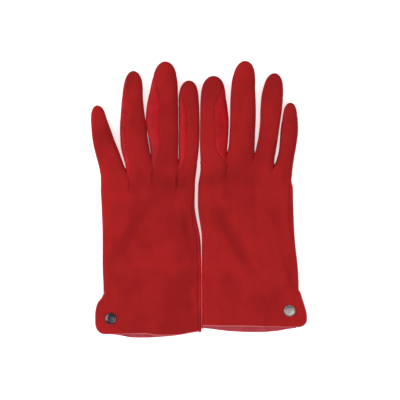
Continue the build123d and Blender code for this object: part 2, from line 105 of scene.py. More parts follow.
# Each finger has its tip, its sides at those places (the first follows from its root points), and
# the angles round its section, in degrees from its right side, of its four seams: palm-right,
# back-right, back-left and palm-left. Equal angles mean that no gusset is sewn in there.
GLOVES = {
    "left": dict(
        outer=-1, thumb=(-16.5, 82.0), snap=(-76.6, 16.7),
        roots=((-86.4, 146.9), (-60.5, 141.1), (-39.2, 151.2), (-16.7, 146.0), (-0.1, 151.3)),
        fingers=dict(
            little=dict(tip=(-89.5, 204.9), left=(11.3, 11.4, 11.3, 10.5, 8.9, 8.2),
                        right=(10.5, 9.4, 8.0, 7.2, 6.2, 5.2), seams=(-50, 18, 186, 186)),
            ring=dict(tip=(-57.1, 235.5), left=(13.6, 16.0, 15.5, 13.6, 11.7, 10.6),
                      right=(9.6, 8.6, 8.0, 7.2, 6.9, 6.8), seams=(-85, -28, 122, 192)),
            middle=dict(tip=(-28.5, 243.9), left=(13.65, 15.65, 17.6, 16.4, 13.4, 11.5),
                        right=(11.1, 11.4, 11.4, 11.3, 10.9, 9.9), seams=(-72, -18, 96, 188)),
            index=dict(tip=(-7.5, 227.1), left=(8.45, 8.5, 8.6, 8.8, 9.1, 9.1),
                       right=(9.1, 9.85, 9.95, 9.65, 9.1, 8.2), seams=(-12, -12, 97, 190))),
        edges=((-8.0, -82.8, 3.6), (20.0, -83.2, 3.5), (42.0, -83.2, 3.5), (68.0, -83.7, 3.4),
               (88.0, -83.7, 2.5), (117.0, -84.6, -2.4), (136.0, -85.8, -1.8), (156.0, -86.6, 0.2)),
        insets=((-8.0, 0.8, 1.6), (28.0, 0.8, 2.4), (41.0, 0.8, 2.4), (95.0, 0.4, 2.6), (116.0, 0.4, 1.6),
                (124.0, 0.4, 0.5), (160.0, 0.4, 0.5)),
        vent=((-82.4, 40.6), (-58.9, 3.0)), tab_low=(-90.6, 2.7),
        folds=(((-42.0, 120.0), (-78.0, 62.0), 1.5, 6.5), ((-13.0, 116.0), (-7.0, 80.0), 1.4, 3.5),
               ((-60.0, 132.0), (-48.0, 128.0), 0.7, 7.0), ((-8.0, 44.0), (-5.0, 12.0), 0.7, 4.5)),
        back_edge=((-88.0, 3.0), (-58.9, 3.0), (-47.0, 3.4), (-36.0, 2.0), (-16.0, 2.4), (-4.0, 4.6),
                   (8.0, 6.6)),
        palm_edge=((-88.0, 3.2), (-71.0, 1.9), (-60.0, -0.2), (-47.0, -0.6), (-33.0, 0.1), (-18.0, 1.5),
                   (-4.0, 4.0), (8.0, 6.0)),
        tab=((-82.4, 40.6), (-84.9, 34.9), (-88.3, 30.6), (-90.3, 24.0), (-90.7, 15.2), (-89.3, 7.2),
             (-85.4, 3.4), (-76.0, 2.8), (-58.9, 3.2))),
    "right": dict(
        outer=1, thumb=(20.5, 85.0), snap=(81.1, 23.6),
        roots=((2.2, 154.9), (24.8, 154.9), (48.7, 154.4), (65.6, 146.5), (84.3, 150.4)),
        fingers=dict(
            index=dict(tip=(14.2, 231.1), left=(11.5, 11.65, 11.65, 11.65, 11.3, 10.7),
                       right=(12.6, 13.5, 13.9, 12.9, 11.2, 10.0), seams=(-15, 89, 188, 188)),
            middle=dict(tip=(42.5, 244.4), left=(10.3, 10.2, 10.7, 11.3, 11.4, 10.7),
                        right=(12.8, 12.5, 12.2, 11.3, 10.0, 9.0), seams=(-42, 6, 172, 222)),
            ring=dict(tip=(68.7, 233.5), left=(7.9, 7.1, 7.4, 8.7, 9.3, 8.6),
                      right=(9.8, 10.2, 10.3, 10.4, 9.8, 9.0), seams=(-52, -8, 143, 200)),
            little=dict(tip=(82.6, 207.4), left=(6.4, 5.3, 5.7, 6.1, 5.7, 5.3),
                        right=(8.9, 9.4, 9.6, 9.4, 8.1, 7.1), seams=(-8, -8, 160, 220))),
        edges=((-4.0, 3.6, 89.0), (20.0, 3.6, 89.4), (42.0, 3.6, 89.5), (62.0, 3.6, 88.5),
               (86.0, 3.7, 85.8), (118.0, 0.2, 84.4), (138.0, 0.8, 84.2), (160.0, 2.4, 84.5)),
        insets=((-4.0, 0.8, 0.3), (42.4, 1.0, 0.3), (84.0, 1.2, 1.0), (96.0, 1.0, 3.2), (134.0, 0.5, 3.4),
                (146.0, 0.5, 1.0), (160.0, 0.5, 0.5)),
        back_edge=((0.0, 10.4), (20.0, 10.0), (50.0, 9.8), (58.0, 9.4), (90.0, 9.4)),
        vent=((89.3, 42.4), (58.0, 9.4)), tab_low=(97.6, 8.8),
        folds=(((14.0, 120.0), (50.0, 54.0), 1.5, 6.5), ((79.0, 66.0), (84.0, 44.0), 1.2, 3.5),
               ((60.0, 132.0), (74.0, 100.0), 0.6, 7.0), ((8.0, 60.0), (12.0, 14.0), 0.7, 5.0)),
        palm_edge=((0.0, 8.4), (7.5, 7.8), (27.0, 5.3), (51.0, 4.3), (70.0, 5.3), (80.0, 7.1), (92.0, 8.6)),
        tab=((89.3, 42.4), (91.0, 39.6), (92.6, 34.6), (95.2, 26.6), (96.8, 18.8), (96.6, 13.8),
             (93.9, 10.2), (88.3, 8.9), (58.0, 9.6))),
}
ORDER = dict(left=("little", "ring", "middle", "index"), right=("index", "middle", "ring", "little"))
print(len(GLOVES), "gloves,", sum(len(g["fingers"]) for g in GLOVES.values()), "fingers")

# %% [markdown]
# ## Small curve tools
# Three helpers carry most of the shapes: a smooth step, a smooth curve through given points, and
# the flat-oval section that every tube of the glove has. All of them work on whole arrays.

# %% curve helpers
def step(x, start=0.0, end=1.0):
    """A smooth step: 0 before start, 1 after end, and 3t^2 - 2t^3 between them."""
    t = np.clip((np.asarray(x, float) - start) / (end - start), 0.0, 1.0)
    return t * t * (3.0 - 2.0 * t)


def curve(points, x):
    """A smooth curve through points of rising x: a cubic in each gap, whose end slopes are the
    mean of the slopes beside each point, and level where those two differ in sign."""
    points = np.asarray(points, float)
    px, py = points[:, 0], points[:, 1]
    slope = np.diff(py) / np.diff(px)
    middle = np.where(slope[1:] * slope[:-1] > 0, (slope[1:] + slope[:-1]) / 2, 0.0)
    tangent = np.concatenate([slope[:1], middle, slope[-1:]])
    x = np.clip(np.asarray(x, float), px[0], px[-1])
    i = np.clip(np.searchsorted(px, x, side="right") - 1, 0, len(px) - 2)
    gap = px[i + 1] - px[i]
    t = (x - px[i]) / gap
    return ((2 * t**3 - 3 * t**2 + 1) * py[i] + (t**3 - 2 * t**2 + t) * gap * tangent[i]
            + (3 * t**2 - 2 * t**3) * py[i + 1] + (t**3 - t**2) * gap * tangent[i + 1])


def oval(angle, power):
    """Unit flat oval: x = sign(c)|c|^(2/power), z = sign(s)|s|^(2/power), of an angle in radians."""
    c, s = np.cos(angle), np.sin(angle)
    return np.sign(c) * np.abs(c)**(2 / power), np.sign(s) * np.abs(s)**(2 / power)


def spread(count, edge=0.75):
    """count + 1 numbers from 0 to 1 that crowd towards both ends, by the share edge."""
    t = np.linspace(0.0, 1.0, count + 1)
    return edge * (1 - np.cos(math.pi * t)) / 2 + (1 - edge) * t


def by_length(first, second, share, power, wide, high):
    """Points of an oval wide and high, between two angles, at given shares of the arc's length."""
    angle = np.linspace(first, second, 241)
    x, z = oval(angle, power)
    x, z = x * wide, z * high
    length = np.concatenate([[0.0], np.cumsum(np.hypot(np.diff(x), np.diff(z)))])
    at = np.interp(share, length / max(length[-1], 1e-9), angle)
    x, z = oval(at, power)
    return x * wide, z * high


def grid_normals(grid, closed=False):
    """Unit outward normals of a grid (rows, columns, 3): the cross product of its two tangents."""
    along = np.gradient(grid, axis=0)
    if closed:
        around = (np.roll(grid, -1, axis=1) - np.roll(grid, 1, axis=1)) / 2
    else:
        around = np.gradient(grid, axis=1)
    normal = np.cross(along, around)
    size = np.linalg.norm(normal, axis=2, keepdims=True)
    return normal / np.maximum(size, 1e-9)


print("curve helpers ready")

# %% [markdown]
# ## From a grid to a sewn piece
# Leather has thickness, and its cut edge is paler than its face. So each piece is a thin closed
# sheet: the outer grid, the same grid drawn in along its normals, and a flat rim that joins them.
# Solidify could do this too, but here the rim gets its own material, and each vertex stores how far
# it is from the nearest seam and from the nearest cut edge, for the puckers and the paler pink
# near the cut edges.
# Where a strip runs out to a point, its last cells shrink to nothing and their points are joined.

# %% closed sheets
FAR = 50.0                              # a stored distance that means "nowhere near"
WELD = 0.000015                         # points nearer than this are one, in metres


def flat_part(outer, inner, keep=None, seam=None, edge=None, fold=None):
    """One sheet between two grids: its points, faces, face kinds (0 outer, 1 inner, 2 rim), stored
    distances and real-size UVs. keep says which cells are there. A rim face stands on each side
    of a kept cell that has no kept neighbour."""
    rows, columns = outer.shape[:2]
    index = np.arange(rows * columns).reshape(rows, columns)
    keep = np.ones((rows - 1, columns - 1), bool) if keep is None else keep
    corners = (index[:-1, :-1], index[1:, :-1], index[1:, 1:], index[:-1, 1:])
    cells = np.stack([c[keep] for c in corners], axis=1)
    ring = np.pad(keep, 1)
    rims = []
    for (down, right), a, b in (((0, -1), 0, 1), ((1, 0), 1, 2), ((0, 1), 2, 3), ((-1, 0), 3, 0)):
        lone = keep & ~ring[1 + down:rows + down, 1 + right:columns + right]
        p, q = corners[a][lone], corners[b][lone]
        rims.append(np.stack([q, p, p + rows * columns, q + rows * columns], axis=1))
    rim = np.concatenate(rims)
    faces = np.concatenate([cells, cells[:, ::-1] + rows * columns, rim])
    kinds = np.repeat([0, 1, 2], [len(cells), len(cells), len(rim)])
    around = np.linalg.norm(np.diff(outer, axis=1), axis=2).cumsum(axis=1)
    along = np.linalg.norm(np.diff(outer, axis=0), axis=2).mean(axis=1).cumsum()
    uv = np.zeros((rows, columns, 2))
    uv[:, 1:, 0], uv[1:, :, 1] = around, along[:, None]
    stored = [np.full((rows, columns), blank) if d is None else d
              for d, blank in ((seam, FAR), (edge, FAR), (fold, 0.0))]
    return (np.concatenate([outer.reshape(-1, 3), inner.reshape(-1, 3)]) * MM, faces, kinds,
            [np.tile(d.reshape(-1), 2) for d in stored], np.tile(uv.reshape(-1, 2) * MM, (2, 1)))


def sheet_mesh(name, parts):
    """A finished object from one or more closed sheets, with no doubled or unused points."""
    points, faces, kinds, stored, uvs, base = [], [], [], [], [], 0
    for p, f, k, distances, uv in parts:
        points.append(p), faces.append(f + base), kinds.append(k), stored.append(distances), uvs.append(uv)
        base += len(p)
    faces, kinds, uvs = np.concatenate(faces), np.concatenate(kinds), np.concatenate(uvs)
    mesh = bpy.data.meshes.new(name)
    mesh.from_pydata(np.concatenate(points), [], faces.tolist())
    mesh.polygons.foreach_set("material_index", kinds.astype(np.int32))
    mesh.polygons.foreach_set("use_smooth", kinds < 2)
    for label, values in zip(("seam", "edge", "fold"), zip(*stored)):
        attribute = mesh.attributes.new(label, "FLOAT", "POINT")
        attribute.data.foreach_set("value", np.concatenate(values).astype(np.float32))
    layer = mesh.uv_layers.new(name="real_size")
    layer.data.foreach_set("uv", uvs[faces.reshape(-1)].astype(np.float32).reshape(-1))
    clean_up(mesh)
    sharpen_rims(mesh)
    return put(name, mesh)


def sharpen_rims(mesh):
    """Marks every edge between a smooth face and a flat rim face as sharp, so that the rim
    doesn't tilt the shading of the leather's face."""
    counts, smooth = np.zeros(len(mesh.polygons), int), np.zeros(len(mesh.polygons), bool)
    mesh.polygons.foreach_get("loop_total", counts)
    mesh.polygons.foreach_get("use_smooth", smooth)
    edge_of = np.zeros(len(mesh.loops), int)
    mesh.loops.foreach_get("edge_index", edge_of)
    flat = np.bincount(edge_of, weights=~np.repeat(smooth, counts), minlength=len(mesh.edges)) > 0
    mesh.edges.foreach_set("use_edge_sharp", flat)


def clean_up(mesh):
    """Joins points that lie together, such as a fingertip's last row, and drops unused ones."""
    work = bmesh.new()
    work.from_mesh(mesh)
    bmesh.ops.remove_doubles(work, verts=work.verts, dist=WELD)
    bmesh.ops.delete(work, geom=[v for v in work.verts if not v.link_faces], context="VERTS")
    work.to_mesh(mesh)
    work.free()


print("sheet builder ready")

# %% [markdown]
# ## The surface of one finger
# A finger is a tube whose flat-oval section follows its line from root to tip. The grid goes once
# round the tube, and the four seams are fixed columns of it, so that back, palm and gussets are
# slices of one surface and their edges meet exactly. The sections start slanted, along the root
# line, and turn square to the finger as they go.

# %% finger grid
BACK_COLUMNS, GUSSET_COLUMNS, PALM_COLUMNS = 24, 12, 22
TIP_START, TIP_POWER = 0.80, 2.3
SECTION_POWER = 2.7
TIP_FLOOR = 0.45                       # a touch pad's thickness, under the fingertips
SEAM_DEPTH, SEAM_WIDTH = 0.55, 0.9
GUSSET_NARROWS, GUSSET_OUT = 0.64, 0.92    # a gusset starts to narrow, and runs out to nothing
TAPER = 0.14                           # how much flatter a finger is near its tip
SETTLE = 0.085                         # how soon the seams reach their places
ROOT_BACK, ROOT_PALM = 46, 26          # the seams' angles at the root, in degrees from the side


def place(point):
    """A plan point measured from the cuff edge, moved to the frame's origin."""
    return np.asarray(point, float) - ORIGIN


def finger_rows():
    """Shares of the length, close together at the root, where it bends, and at the round tip."""
    tip = TIP_START + (1 - TIP_START) * (1 - (1 - np.linspace(0, 1, 19)[1:])**2)
    return np.concatenate([np.linspace(0, 0.22, 21), np.linspace(0.22, TIP_START, 44)[1:], tip])


def finger_surface(glove, place_in_hand, name):
    """The closed grid (rows, columns, 3) round a finger, the columns where its strips begin, and
    its plan line. Row 0 lies on the root line, and the last row is the tip point."""
    data = glove["fingers"][name]
    a, b = place(glove["roots"][place_in_hand]), place(glove["roots"][place_in_hand + 1])
    middle, tip = (a + b) / 2, place(data["tip"])
    length = float(np.hypot(*(tip - middle)))
    along = (tip - middle) / length
    across = np.array([along[1], -along[0]])
    v = finger_rows()
    half_left, half_right = -float((a - middle) @ across), float((b - middle) @ across)
    left = curve(np.stack([FULLNESS, (half_left, *data["left"])], axis=1), v)
    right = curve(np.stack([FULLNESS, (half_right, *data["right"])], axis=1), v)
    close = (1 - np.clip((v - TIP_START) / (1 - TIP_START), 0, 1)**TIP_POWER)**0.5
    # The tip closes about the finger's middle line, and not about one side.
    ahead = step(v, 0.7, 1.0)
    wide, shift = (left + right) / 2 * close, (right - left) / 2 * (1 - ahead)
    high = FINGER_HEIGHT / 2 * (1 - TAPER * step(v, 0.3, 0.9)) * close**0.9
    floor = ROOT_BOTTOM[name] * (1 - step(v, 0.0, 0.8)) + TIP_FLOOR * step(v, 0.0, 0.8)
    centre = floor + FINGER_HEIGHT / 2 * (1 - TAPER * step(v, 0.3, 0.9))

    palm_right, back_right, back_left, palm_left = (math.radians(s) for s in data["seams"])
    settle, merge = 1 - np.exp(-v / SETTLE), step(v, GUSSET_NARROWS, GUSSET_OUT)
    def seam_angle(start, later, partner):
        angle = math.radians(start) * (1 - settle) + later * settle
        return angle * (1 - merge) + (later + partner) / 2 * merge
    gusset_left, gusset_right = back_left != palm_left, back_right != palm_right
    back_r = seam_angle(ROOT_BACK if gusset_right else math.degrees(back_right), back_right, palm_right)
    palm_r = seam_angle(-ROOT_PALM if gusset_right else math.degrees(palm_right), palm_right, back_right)
    back_l = seam_angle(180 - ROOT_BACK if gusset_left else math.degrees(back_left), back_left, palm_left)
    palm_l = seam_angle(180 + ROOT_PALM if gusset_left else math.degrees(palm_left), palm_left, back_left)

    strips = [("back", back_r, back_l, BACK_COLUMNS)]
    if gusset_left:
        strips.append(("gusset_left", back_l, palm_l, GUSSET_COLUMNS))
    strips.append(("palm", palm_l, palm_r + 2 * math.pi, PALM_COLUMNS))
    if gusset_right:
        strips.append(("gusset_right", palm_r, back_r, GUSSET_COLUMNS))
    blocks, starts, column = [], {}, 0
    for label, first, second, count in strips:
        share = spread(count)
        block = np.zeros((len(v), count + 1, 2))
        for row in range(len(v)):
            block[row, :, 0], block[row, :, 1] = by_length(first[row], second[row], share, SECTION_POWER,
                                                            max(wide[row], 1e-4), max(high[row], 1e-4))
        blocks.append(block[:, :-1])
        starts[label] = (column, count)
        column += count
    section = np.concatenate(blocks, axis=1)
    sideways = section[:, :, 0] + shift[:, None]
    slope = float((b - a) @ along) / float((b - a) @ across)
    distance = (v * length)[:, None] + (1 - step(v, 0.0, 0.5))[:, None] * slope * sideways
    plan = middle + distance[..., None] * along + sideways[..., None] * across
    height = section[:, :, 1] + centre[:, None]
    grid = np.concatenate([plan, height[..., None]], axis=2)
    line = dict(middle=middle, along=along, length=length, a=a, b=b, v=v)
    return grid, starts, line


def strip_edges(starts):
    """The four seam columns: back-right, back-left, palm-left and palm-right."""
    back_left = starts["back"][1]
    palm_left, count = starts["palm"]
    return 0, back_left, palm_left, palm_left + count


def join_at_crotches(fingers):
    """Moves each pair of neighbouring seam ends at row 0 to the point half-way between them, so
    one gusset strip can run down one finger and up the next. The shift fades over 15% of the
    finger, and between the seams it changes evenly round the section."""
    shifts = [dict() for _ in fingers]
    for i in range(len(fingers) - 1):
        (grid, starts, _), (next_grid, next_starts, _) = fingers[i], fingers[i + 1]
        back_right, _, _, palm_right = strip_edges(starts)
        _, back_left, palm_left, _ = strip_edges(next_starts)
        for mine, other in ((back_right, back_left), (palm_right, palm_left)):
            target = (grid[0, mine % grid.shape[1]] + next_grid[0, other]) / 2
            shifts[i][mine] = target - grid[0, mine % grid.shape[1]]
            shifts[i + 1][other] = target - next_grid[0, other]
    for (grid, starts, line), moves in zip(fingers, shifts):
        seams = strip_edges(starts)
        columns = np.arange(grid.shape[1])
        values = np.array([moves.get(s, np.zeros(3)) for s in seams] + [moves.get(0, np.zeros(3))])
        knots = list(seams) + [grid.shape[1]]
        shift = np.stack([np.interp(columns, knots, values[:, axis]) for axis in range(3)], axis=1)
        grid += shift[None] * (1 - step(line["v"], 0.0, 0.15))[:, None, None]


def seam_distance(grid, starts):
    """How far each point of a finger is from its nearest seam, measured round the section."""
    around = np.linalg.norm(np.roll(grid, -1, axis=1) - grid, axis=2)
    whole = around.sum(axis=1, keepdims=True)
    place_round = np.concatenate([np.zeros((len(grid), 1)), around.cumsum(axis=1)[:, :-1]], axis=1)
    distance = np.full(grid.shape[:2], FAR)
    for seam in strip_edges(starts):
        gap = np.abs(place_round - place_round[:, seam % grid.shape[1]][:, None])
        distance = np.minimum(distance, np.minimum(gap, whole - gap))
    return distance


def finger_normals(grid, starts, line):
    """Normals round a finger. Where a gusset has run out, its columns lie on one line, and all
    of them take the mean direction of its two seams, so that the back still meets the palm."""
    normal = grid_normals(grid, True)
    joined = step(line["v"], 0.78, GUSSET_OUT)[:, None, None]
    for label in ("gusset_left", "gusset_right"):
        if label in starts:
            first, count = starts[label]
            columns = (first + np.arange(count + 1)) % grid.shape[1]
            mean = normal[:, columns[:1]] + normal[:, columns[-1:]]
            mean /= np.linalg.norm(mean, axis=2, keepdims=True)
            normal[:, columns] = normal[:, columns] * (1 - joined) + mean * joined
    normal[-1] = (*line["along"], 0.0)
    return normal / np.linalg.norm(normal, axis=2, keepdims=True)


def sew_in(grid, distance, fade, normal):
    """Draws the leather in along its seams, by a depth that dies away as a bell curve."""
    return grid - normal * (SEAM_DEPTH * fade * np.exp(-(distance / SEAM_WIDTH)**2))[..., None]


hands = {}
for side, glove in GLOVES.items():
    fingers = [finger_surface(glove, i, name) for i, name in enumerate(ORDER[side])]
    join_at_crotches(fingers)
    sewn = []
    for grid, starts, line in fingers:
        distance = seam_distance(grid, starts)
        fade = step(line["v"], -0.03, 0.07) * (1 - step(line["v"], 0.93, 0.99))
        grid = sew_in(grid, distance, fade[:, None], finger_normals(grid, starts, line))
        sewn.append((grid, starts, line, distance))
    hands[side] = sewn
    print(side, "fingers", [s[0].shape for s in sewn])

# %% [markdown]
# ## The hand: one back and one palm
# The back of a glove is a single piece of suede from the cuff to the fingertips, and so is the
# palm. Here each is cut at the knuckles only because the fingers bend there. The hand's section is
# one wide flat oval; over the last stretch below the knuckles it changes into the four small ovals
# of the fingers, and it meets them with the same slope, so the leather looks unbroken. The side
# seams stand a little in from the edge, where the palm's smoother leather comes round.

# %% hand grids
HAND_POWER = 3.2
KNUCKLE_BLEND = 20.0                    # where the wide oval becomes four
DRIFT = 5.0                             # how far a finger's lean carries on into the hand
ROLLED = 0.5                            # how far a cut edge is rounded over
OPEN_ANGLE = math.radians(22)           # how far the palm's free edge opens out under the tab
DOME = 0.5                              # how far the back crowns over the hand


def hand_level(y):
    """Bottom, height and roll in degrees of the hand's section at a plan y. The palm rises off
    the table over the thumb, and comes down again towards the fingers."""
    rise, drop = step(y, RISE_START, RISE_END), step(y, DROP_START, DROP_END)
    bottom = LIFT + (PALM_BOTTOM - LIFT) * rise - (PALM_BOTTOM - KNUCKLE_BOTTOM) * drop
    height = CUFF_HEIGHT + (PALM_HEIGHT - CUFF_HEIGHT) * rise
    return bottom, height, PALM_ROLL * rise - (PALM_ROLL - KNUCKLE_ROLL) * drop


def hand_rows(glove):
    """Plan levels of the rows, close together at the cut edge and near the knuckles."""
    start, top = glove["vent"][1][1], glove["vent"][0][1]
    root = np.mean([p[1] for p in glove["roots"]])
    edge = start + np.array([0.0, 0.12, 0.28, 0.5, 0.9])
    return np.concatenate([edge, np.linspace(edge[-1], top, 26)[1:],
                           np.linspace(top, root - KNUCKLE_BLEND, 54)[1:],
                           np.linspace(root - KNUCKLE_BLEND, root, 24)[1:]])


def hand_frame(glove, y):
    """Middle, half width, centre height, half height, roll and the four end angles of the back
    and palm at each plan level. A seam angle comes from how far the seam is in from the edge."""
    left, right, inset_left, inset_right = (curve([(e[0], e[i]) for e in glove[key]], y)
                                            for key in ("edges", "insets") for i in (1, 2))
    half, middle = (right - left) / 2, (right + left) / 2
    bottom, height, roll = hand_level(y)
    seam_right = np.arccos(((half - inset_right) / half)**(HAND_POWER / 2))
    seam_left = math.pi - np.arccos(((half - inset_left) / half)**(HAND_POWER / 2))
    (top_x, top_y), (foot_x, foot_y) = glove["vent"]
    hinge = foot_x + (top_x - foot_x) * (y - foot_y) / (top_y - foot_y)
    hinge_angle = np.arccos(np.clip(np.abs(hinge - middle) / half, 0, 1)**(HAND_POWER / 2))
    below, opened = y < top_y - 1e-6, step(top_y - y, 0.0, 8.0)
    back_right, back_left, palm_left, palm_right = seam_right, seam_left, seam_left, seam_right + 2 * math.pi
    if glove["outer"] < 0:
        back_left = np.where(below, math.pi - hinge_angle, seam_left)
        palm_left = seam_left * (1 - opened) + (math.pi + OPEN_ANGLE) * opened
    else:
        back_right = np.where(below, hinge_angle, seam_right)
        palm_right = palm_right * (1 - opened) + (2 * math.pi - OPEN_ANGLE) * opened
    return dict(y=y, middle=middle, half=half, centre=bottom + height / 2, high=height / 2,
                roll=np.radians(-glove["outer"] * roll),
                back=(back_right, back_left), palm=(palm_left, palm_right))


def tab_plane(glove, x, y):
    """Height of the plane of the tab's upper face, which is the CAD tab's plane."""
    (top, foot), low = glove["vent"], glove["tab_low"]
    points = np.array([[*top, 6.5], [*foot, 9.2], [*low, 5.0]])
    normal = np.cross(points[1] - points[0], points[2] - points[0])
    return points[0, 2] - (normal[0] * (x - points[0, 0]) + normal[1] * (y - points[0, 1])) / normal[2]


def inboard(glove, x, y):
    """Distance in plan from the line of the tab's hinge, positive towards the hand."""
    (top_x, top_y), (foot_x, foot_y) = glove["vent"]
    dx, dy = foot_x - top_x, foot_y - top_y
    side = ((x - top_x) * dy - (y - top_y) * dx) / math.hypot(dx, dy)
    return side * glove["outer"]


def fold_depth(glove, x, y):
    """Soft valleys where the leather has creased: a bell curve of the distance to each segment."""
    depth = np.zeros_like(x)
    for (x0, y0), (x1, y1), deep, width in glove["folds"]:
        dx, dy = x1 - x0, y1 - y0
        t = ((x - x0) * dx + (y - y0) * dy) / (dx * dx + dy * dy)
        near = np.clip(t, 0, 1)
        gap = np.hypot(x - x0 - near * dx, y - y0 - near * dy)
        depth += deep * np.exp(-(gap / width)**2) * (0.35 + 0.65 * np.sin(math.pi * near))
    return depth


def knuckle_row(sewn, part):
    """The fingers' first row, and its direction away from the hand, strung together as one row
    across the glove: right to left for the back, left to right for the palm."""
    rows, slopes = [], []
    order = sewn[::-1] if part == "back" else sewn
    for i, (grid, starts, line, _) in enumerate(order):
        first, count = starts[part]
        columns = (first + np.arange(count + (i == len(order) - 1))) % grid.shape[1]
        ahead = (grid[1, columns] - grid[0, columns]) / ((line["v"][1] - line["v"][0]) * line["length"])
        rows.append(grid[0, columns]), slopes.append(ahead)
    return np.concatenate(rows), np.concatenate(slopes)


def hand_grid(glove, sewn, part):
    """The outer grid of the back or the palm, and its distance to a seam and to a cut edge.
    A wide oval section is placed at each level, then each column is drawn over to the fingers."""
    y = hand_rows(glove)
    frame_at = hand_frame(glove, y)
    row, slope = knuckle_row(sewn, part)
    share = np.concatenate([[0.0], np.hypot(np.diff(row[:, 0]), 0.3 * np.diff(row[:, 2])).cumsum()])
    share /= share[-1]
    first, second = frame_at[part]
    section = np.array([by_length(first[i], second[i], share, HAND_POWER, frame_at["half"][i],
                                  frame_at["high"][i]) for i in range(len(y))])
    side, up = section[:, 0], section[:, 1]
    roll = frame_at["roll"][:, None]
    x = frame_at["middle"][:, None] + side * np.cos(roll) - up * np.sin(roll)
    z = frame_at["centre"][:, None] + side * np.sin(roll) + up * np.cos(roll)
    level = np.broadcast_to(y[:, None], x.shape)
    cuff = curve(glove["back_edge" if part == "back" else "palm_edge"], x) - y[0]
    knuckle = row[:, 1] + ORIGIN[1] - y[-1]
    plan_y = level + cuff * (1 - step(level, y[0], y[0] + 14)) + knuckle * step(level, y[-1] - 50, y[-1])
    if part == "back":
        distance = inboard(glove, x, plan_y)
        top_y = glove["vent"][0][1]
        share_of_plane = (1 - step(distance, 0.0, 13.0)) * (1 - step(level, top_y, top_y + 10))
        z = z * (1 - share_of_plane) + tab_plane(glove, x, plan_y) * share_of_plane
        crown = 1 - np.abs((x - frame_at["middle"][:, None]) / frame_at["half"][:, None])**2
        quiet = np.clip(1 - share_of_plane, 0, 1)
        z = z + quiet * (DOME * np.clip(crown, 0, 1) - fold_depth(glove, x, plan_y))
    grid = np.stack([x - ORIGIN[0], plan_y - ORIGIN[1], z], axis=2)
    from_root = y[-1] - level
    reach = row[None] - (DRIFT * (1 - np.exp(-from_root / DRIFT)))[..., None] * slope[None]
    reach[..., 1] = row[None, :, 1] - from_root * slope[None, :, 1]
    drawn = (1 - step(from_root, 0.0, KNUCKLE_BLEND))[..., None]
    grid = grid * (1 - drawn) + reach * drawn

    across = np.linalg.norm(np.diff(grid, axis=1), axis=2).cumsum(axis=1)
    across = np.concatenate([np.zeros((len(y), 1)), across], axis=1)
    right_side, left_side = (across, across[:, -1:] - across)
    if part == "palm":
        right_side, left_side = left_side, right_side
    open_side = level < glove["vent"][0][1] + 0.5
    outer_side, inner_side = (left_side, right_side) if glove["outer"] < 0 else (right_side, left_side)
    seam = np.minimum(np.where(open_side, FAR, outer_side), inner_side)
    from_cuff = level - y[0]
    edge = np.minimum(from_cuff, np.where(open_side & (part == "palm"), outer_side, FAR))
    fade = (1 - step(level, y[-1] - 4.0, y[-1])) * step(from_cuff, 0.0, 2.0)
    grid = sew_in(grid, seam, fade, grid_normals(grid))
    near = np.clip(1 - edge / ROLLED, 0, 1)
    grid[..., 2] += (-1 if part == "back" else 1) * ROLLED * (1 - np.sqrt(1 - 0.96 * near**2)) * 0.8
    fold = fold_depth(glove, grid[..., 0] + ORIGIN[0], grid[..., 1] + ORIGIN[1])
    return grid, seam, edge, fold


back_grids, palm_grids = {}, {}
for side, glove in GLOVES.items():
    back_grids[side] = hand_grid(glove, hands[side], "back")
    palm_grids[side] = hand_grid(glove, hands[side], "palm")
    print(side, "back", back_grids[side][0].shape, "top", round(float(back_grids[side][0][..., 2].max()), 1),
          "palm", palm_grids[side][0].shape, "low", round(float(palm_grids[side][0][..., 2].min()), 2))

# %% [markdown]
# ## Shader expressions
# A material is easier to read as a sum. This small class holds one socket, and its operators add
# Math nodes, so `1 - mask * 0.4` builds two nodes. Every other node comes from one method.

# %% shader maths
class Value:
    """A number socket that can be added, subtracted, multiplied, divided and raised to a power."""

    def __init__(self, tree, socket):
        self.tree, self.socket = tree, socket

    def _math(self, operation, a, b):
        node = self.tree.nodes.new("ShaderNodeMath")
        node.operation = operation
        for slot_number, item in enumerate((a, b)):
            if isinstance(item, Value):
                self.tree.links.new(item.socket, node.inputs[slot_number])
            else:
                node.inputs[slot_number].default_value = item
        return Value(self.tree, node.outputs[0])

    def __add__(self, other): return self._math("ADD", self, other)
    def __radd__(self, other): return self._math("ADD", other, self)
    def __sub__(self, other): return self._math("SUBTRACT", self, other)
    def __rsub__(self, other): return self._math("SUBTRACT", other, self)
    def __mul__(self, other): return self._math("MULTIPLY", self, other)
    def __rmul__(self, other): return self._math("MULTIPLY", other, self)
    def __truediv__(self, other): return self._math("DIVIDE", self, other)
    def __pow__(self, other): return self._math("POWER", self, other)


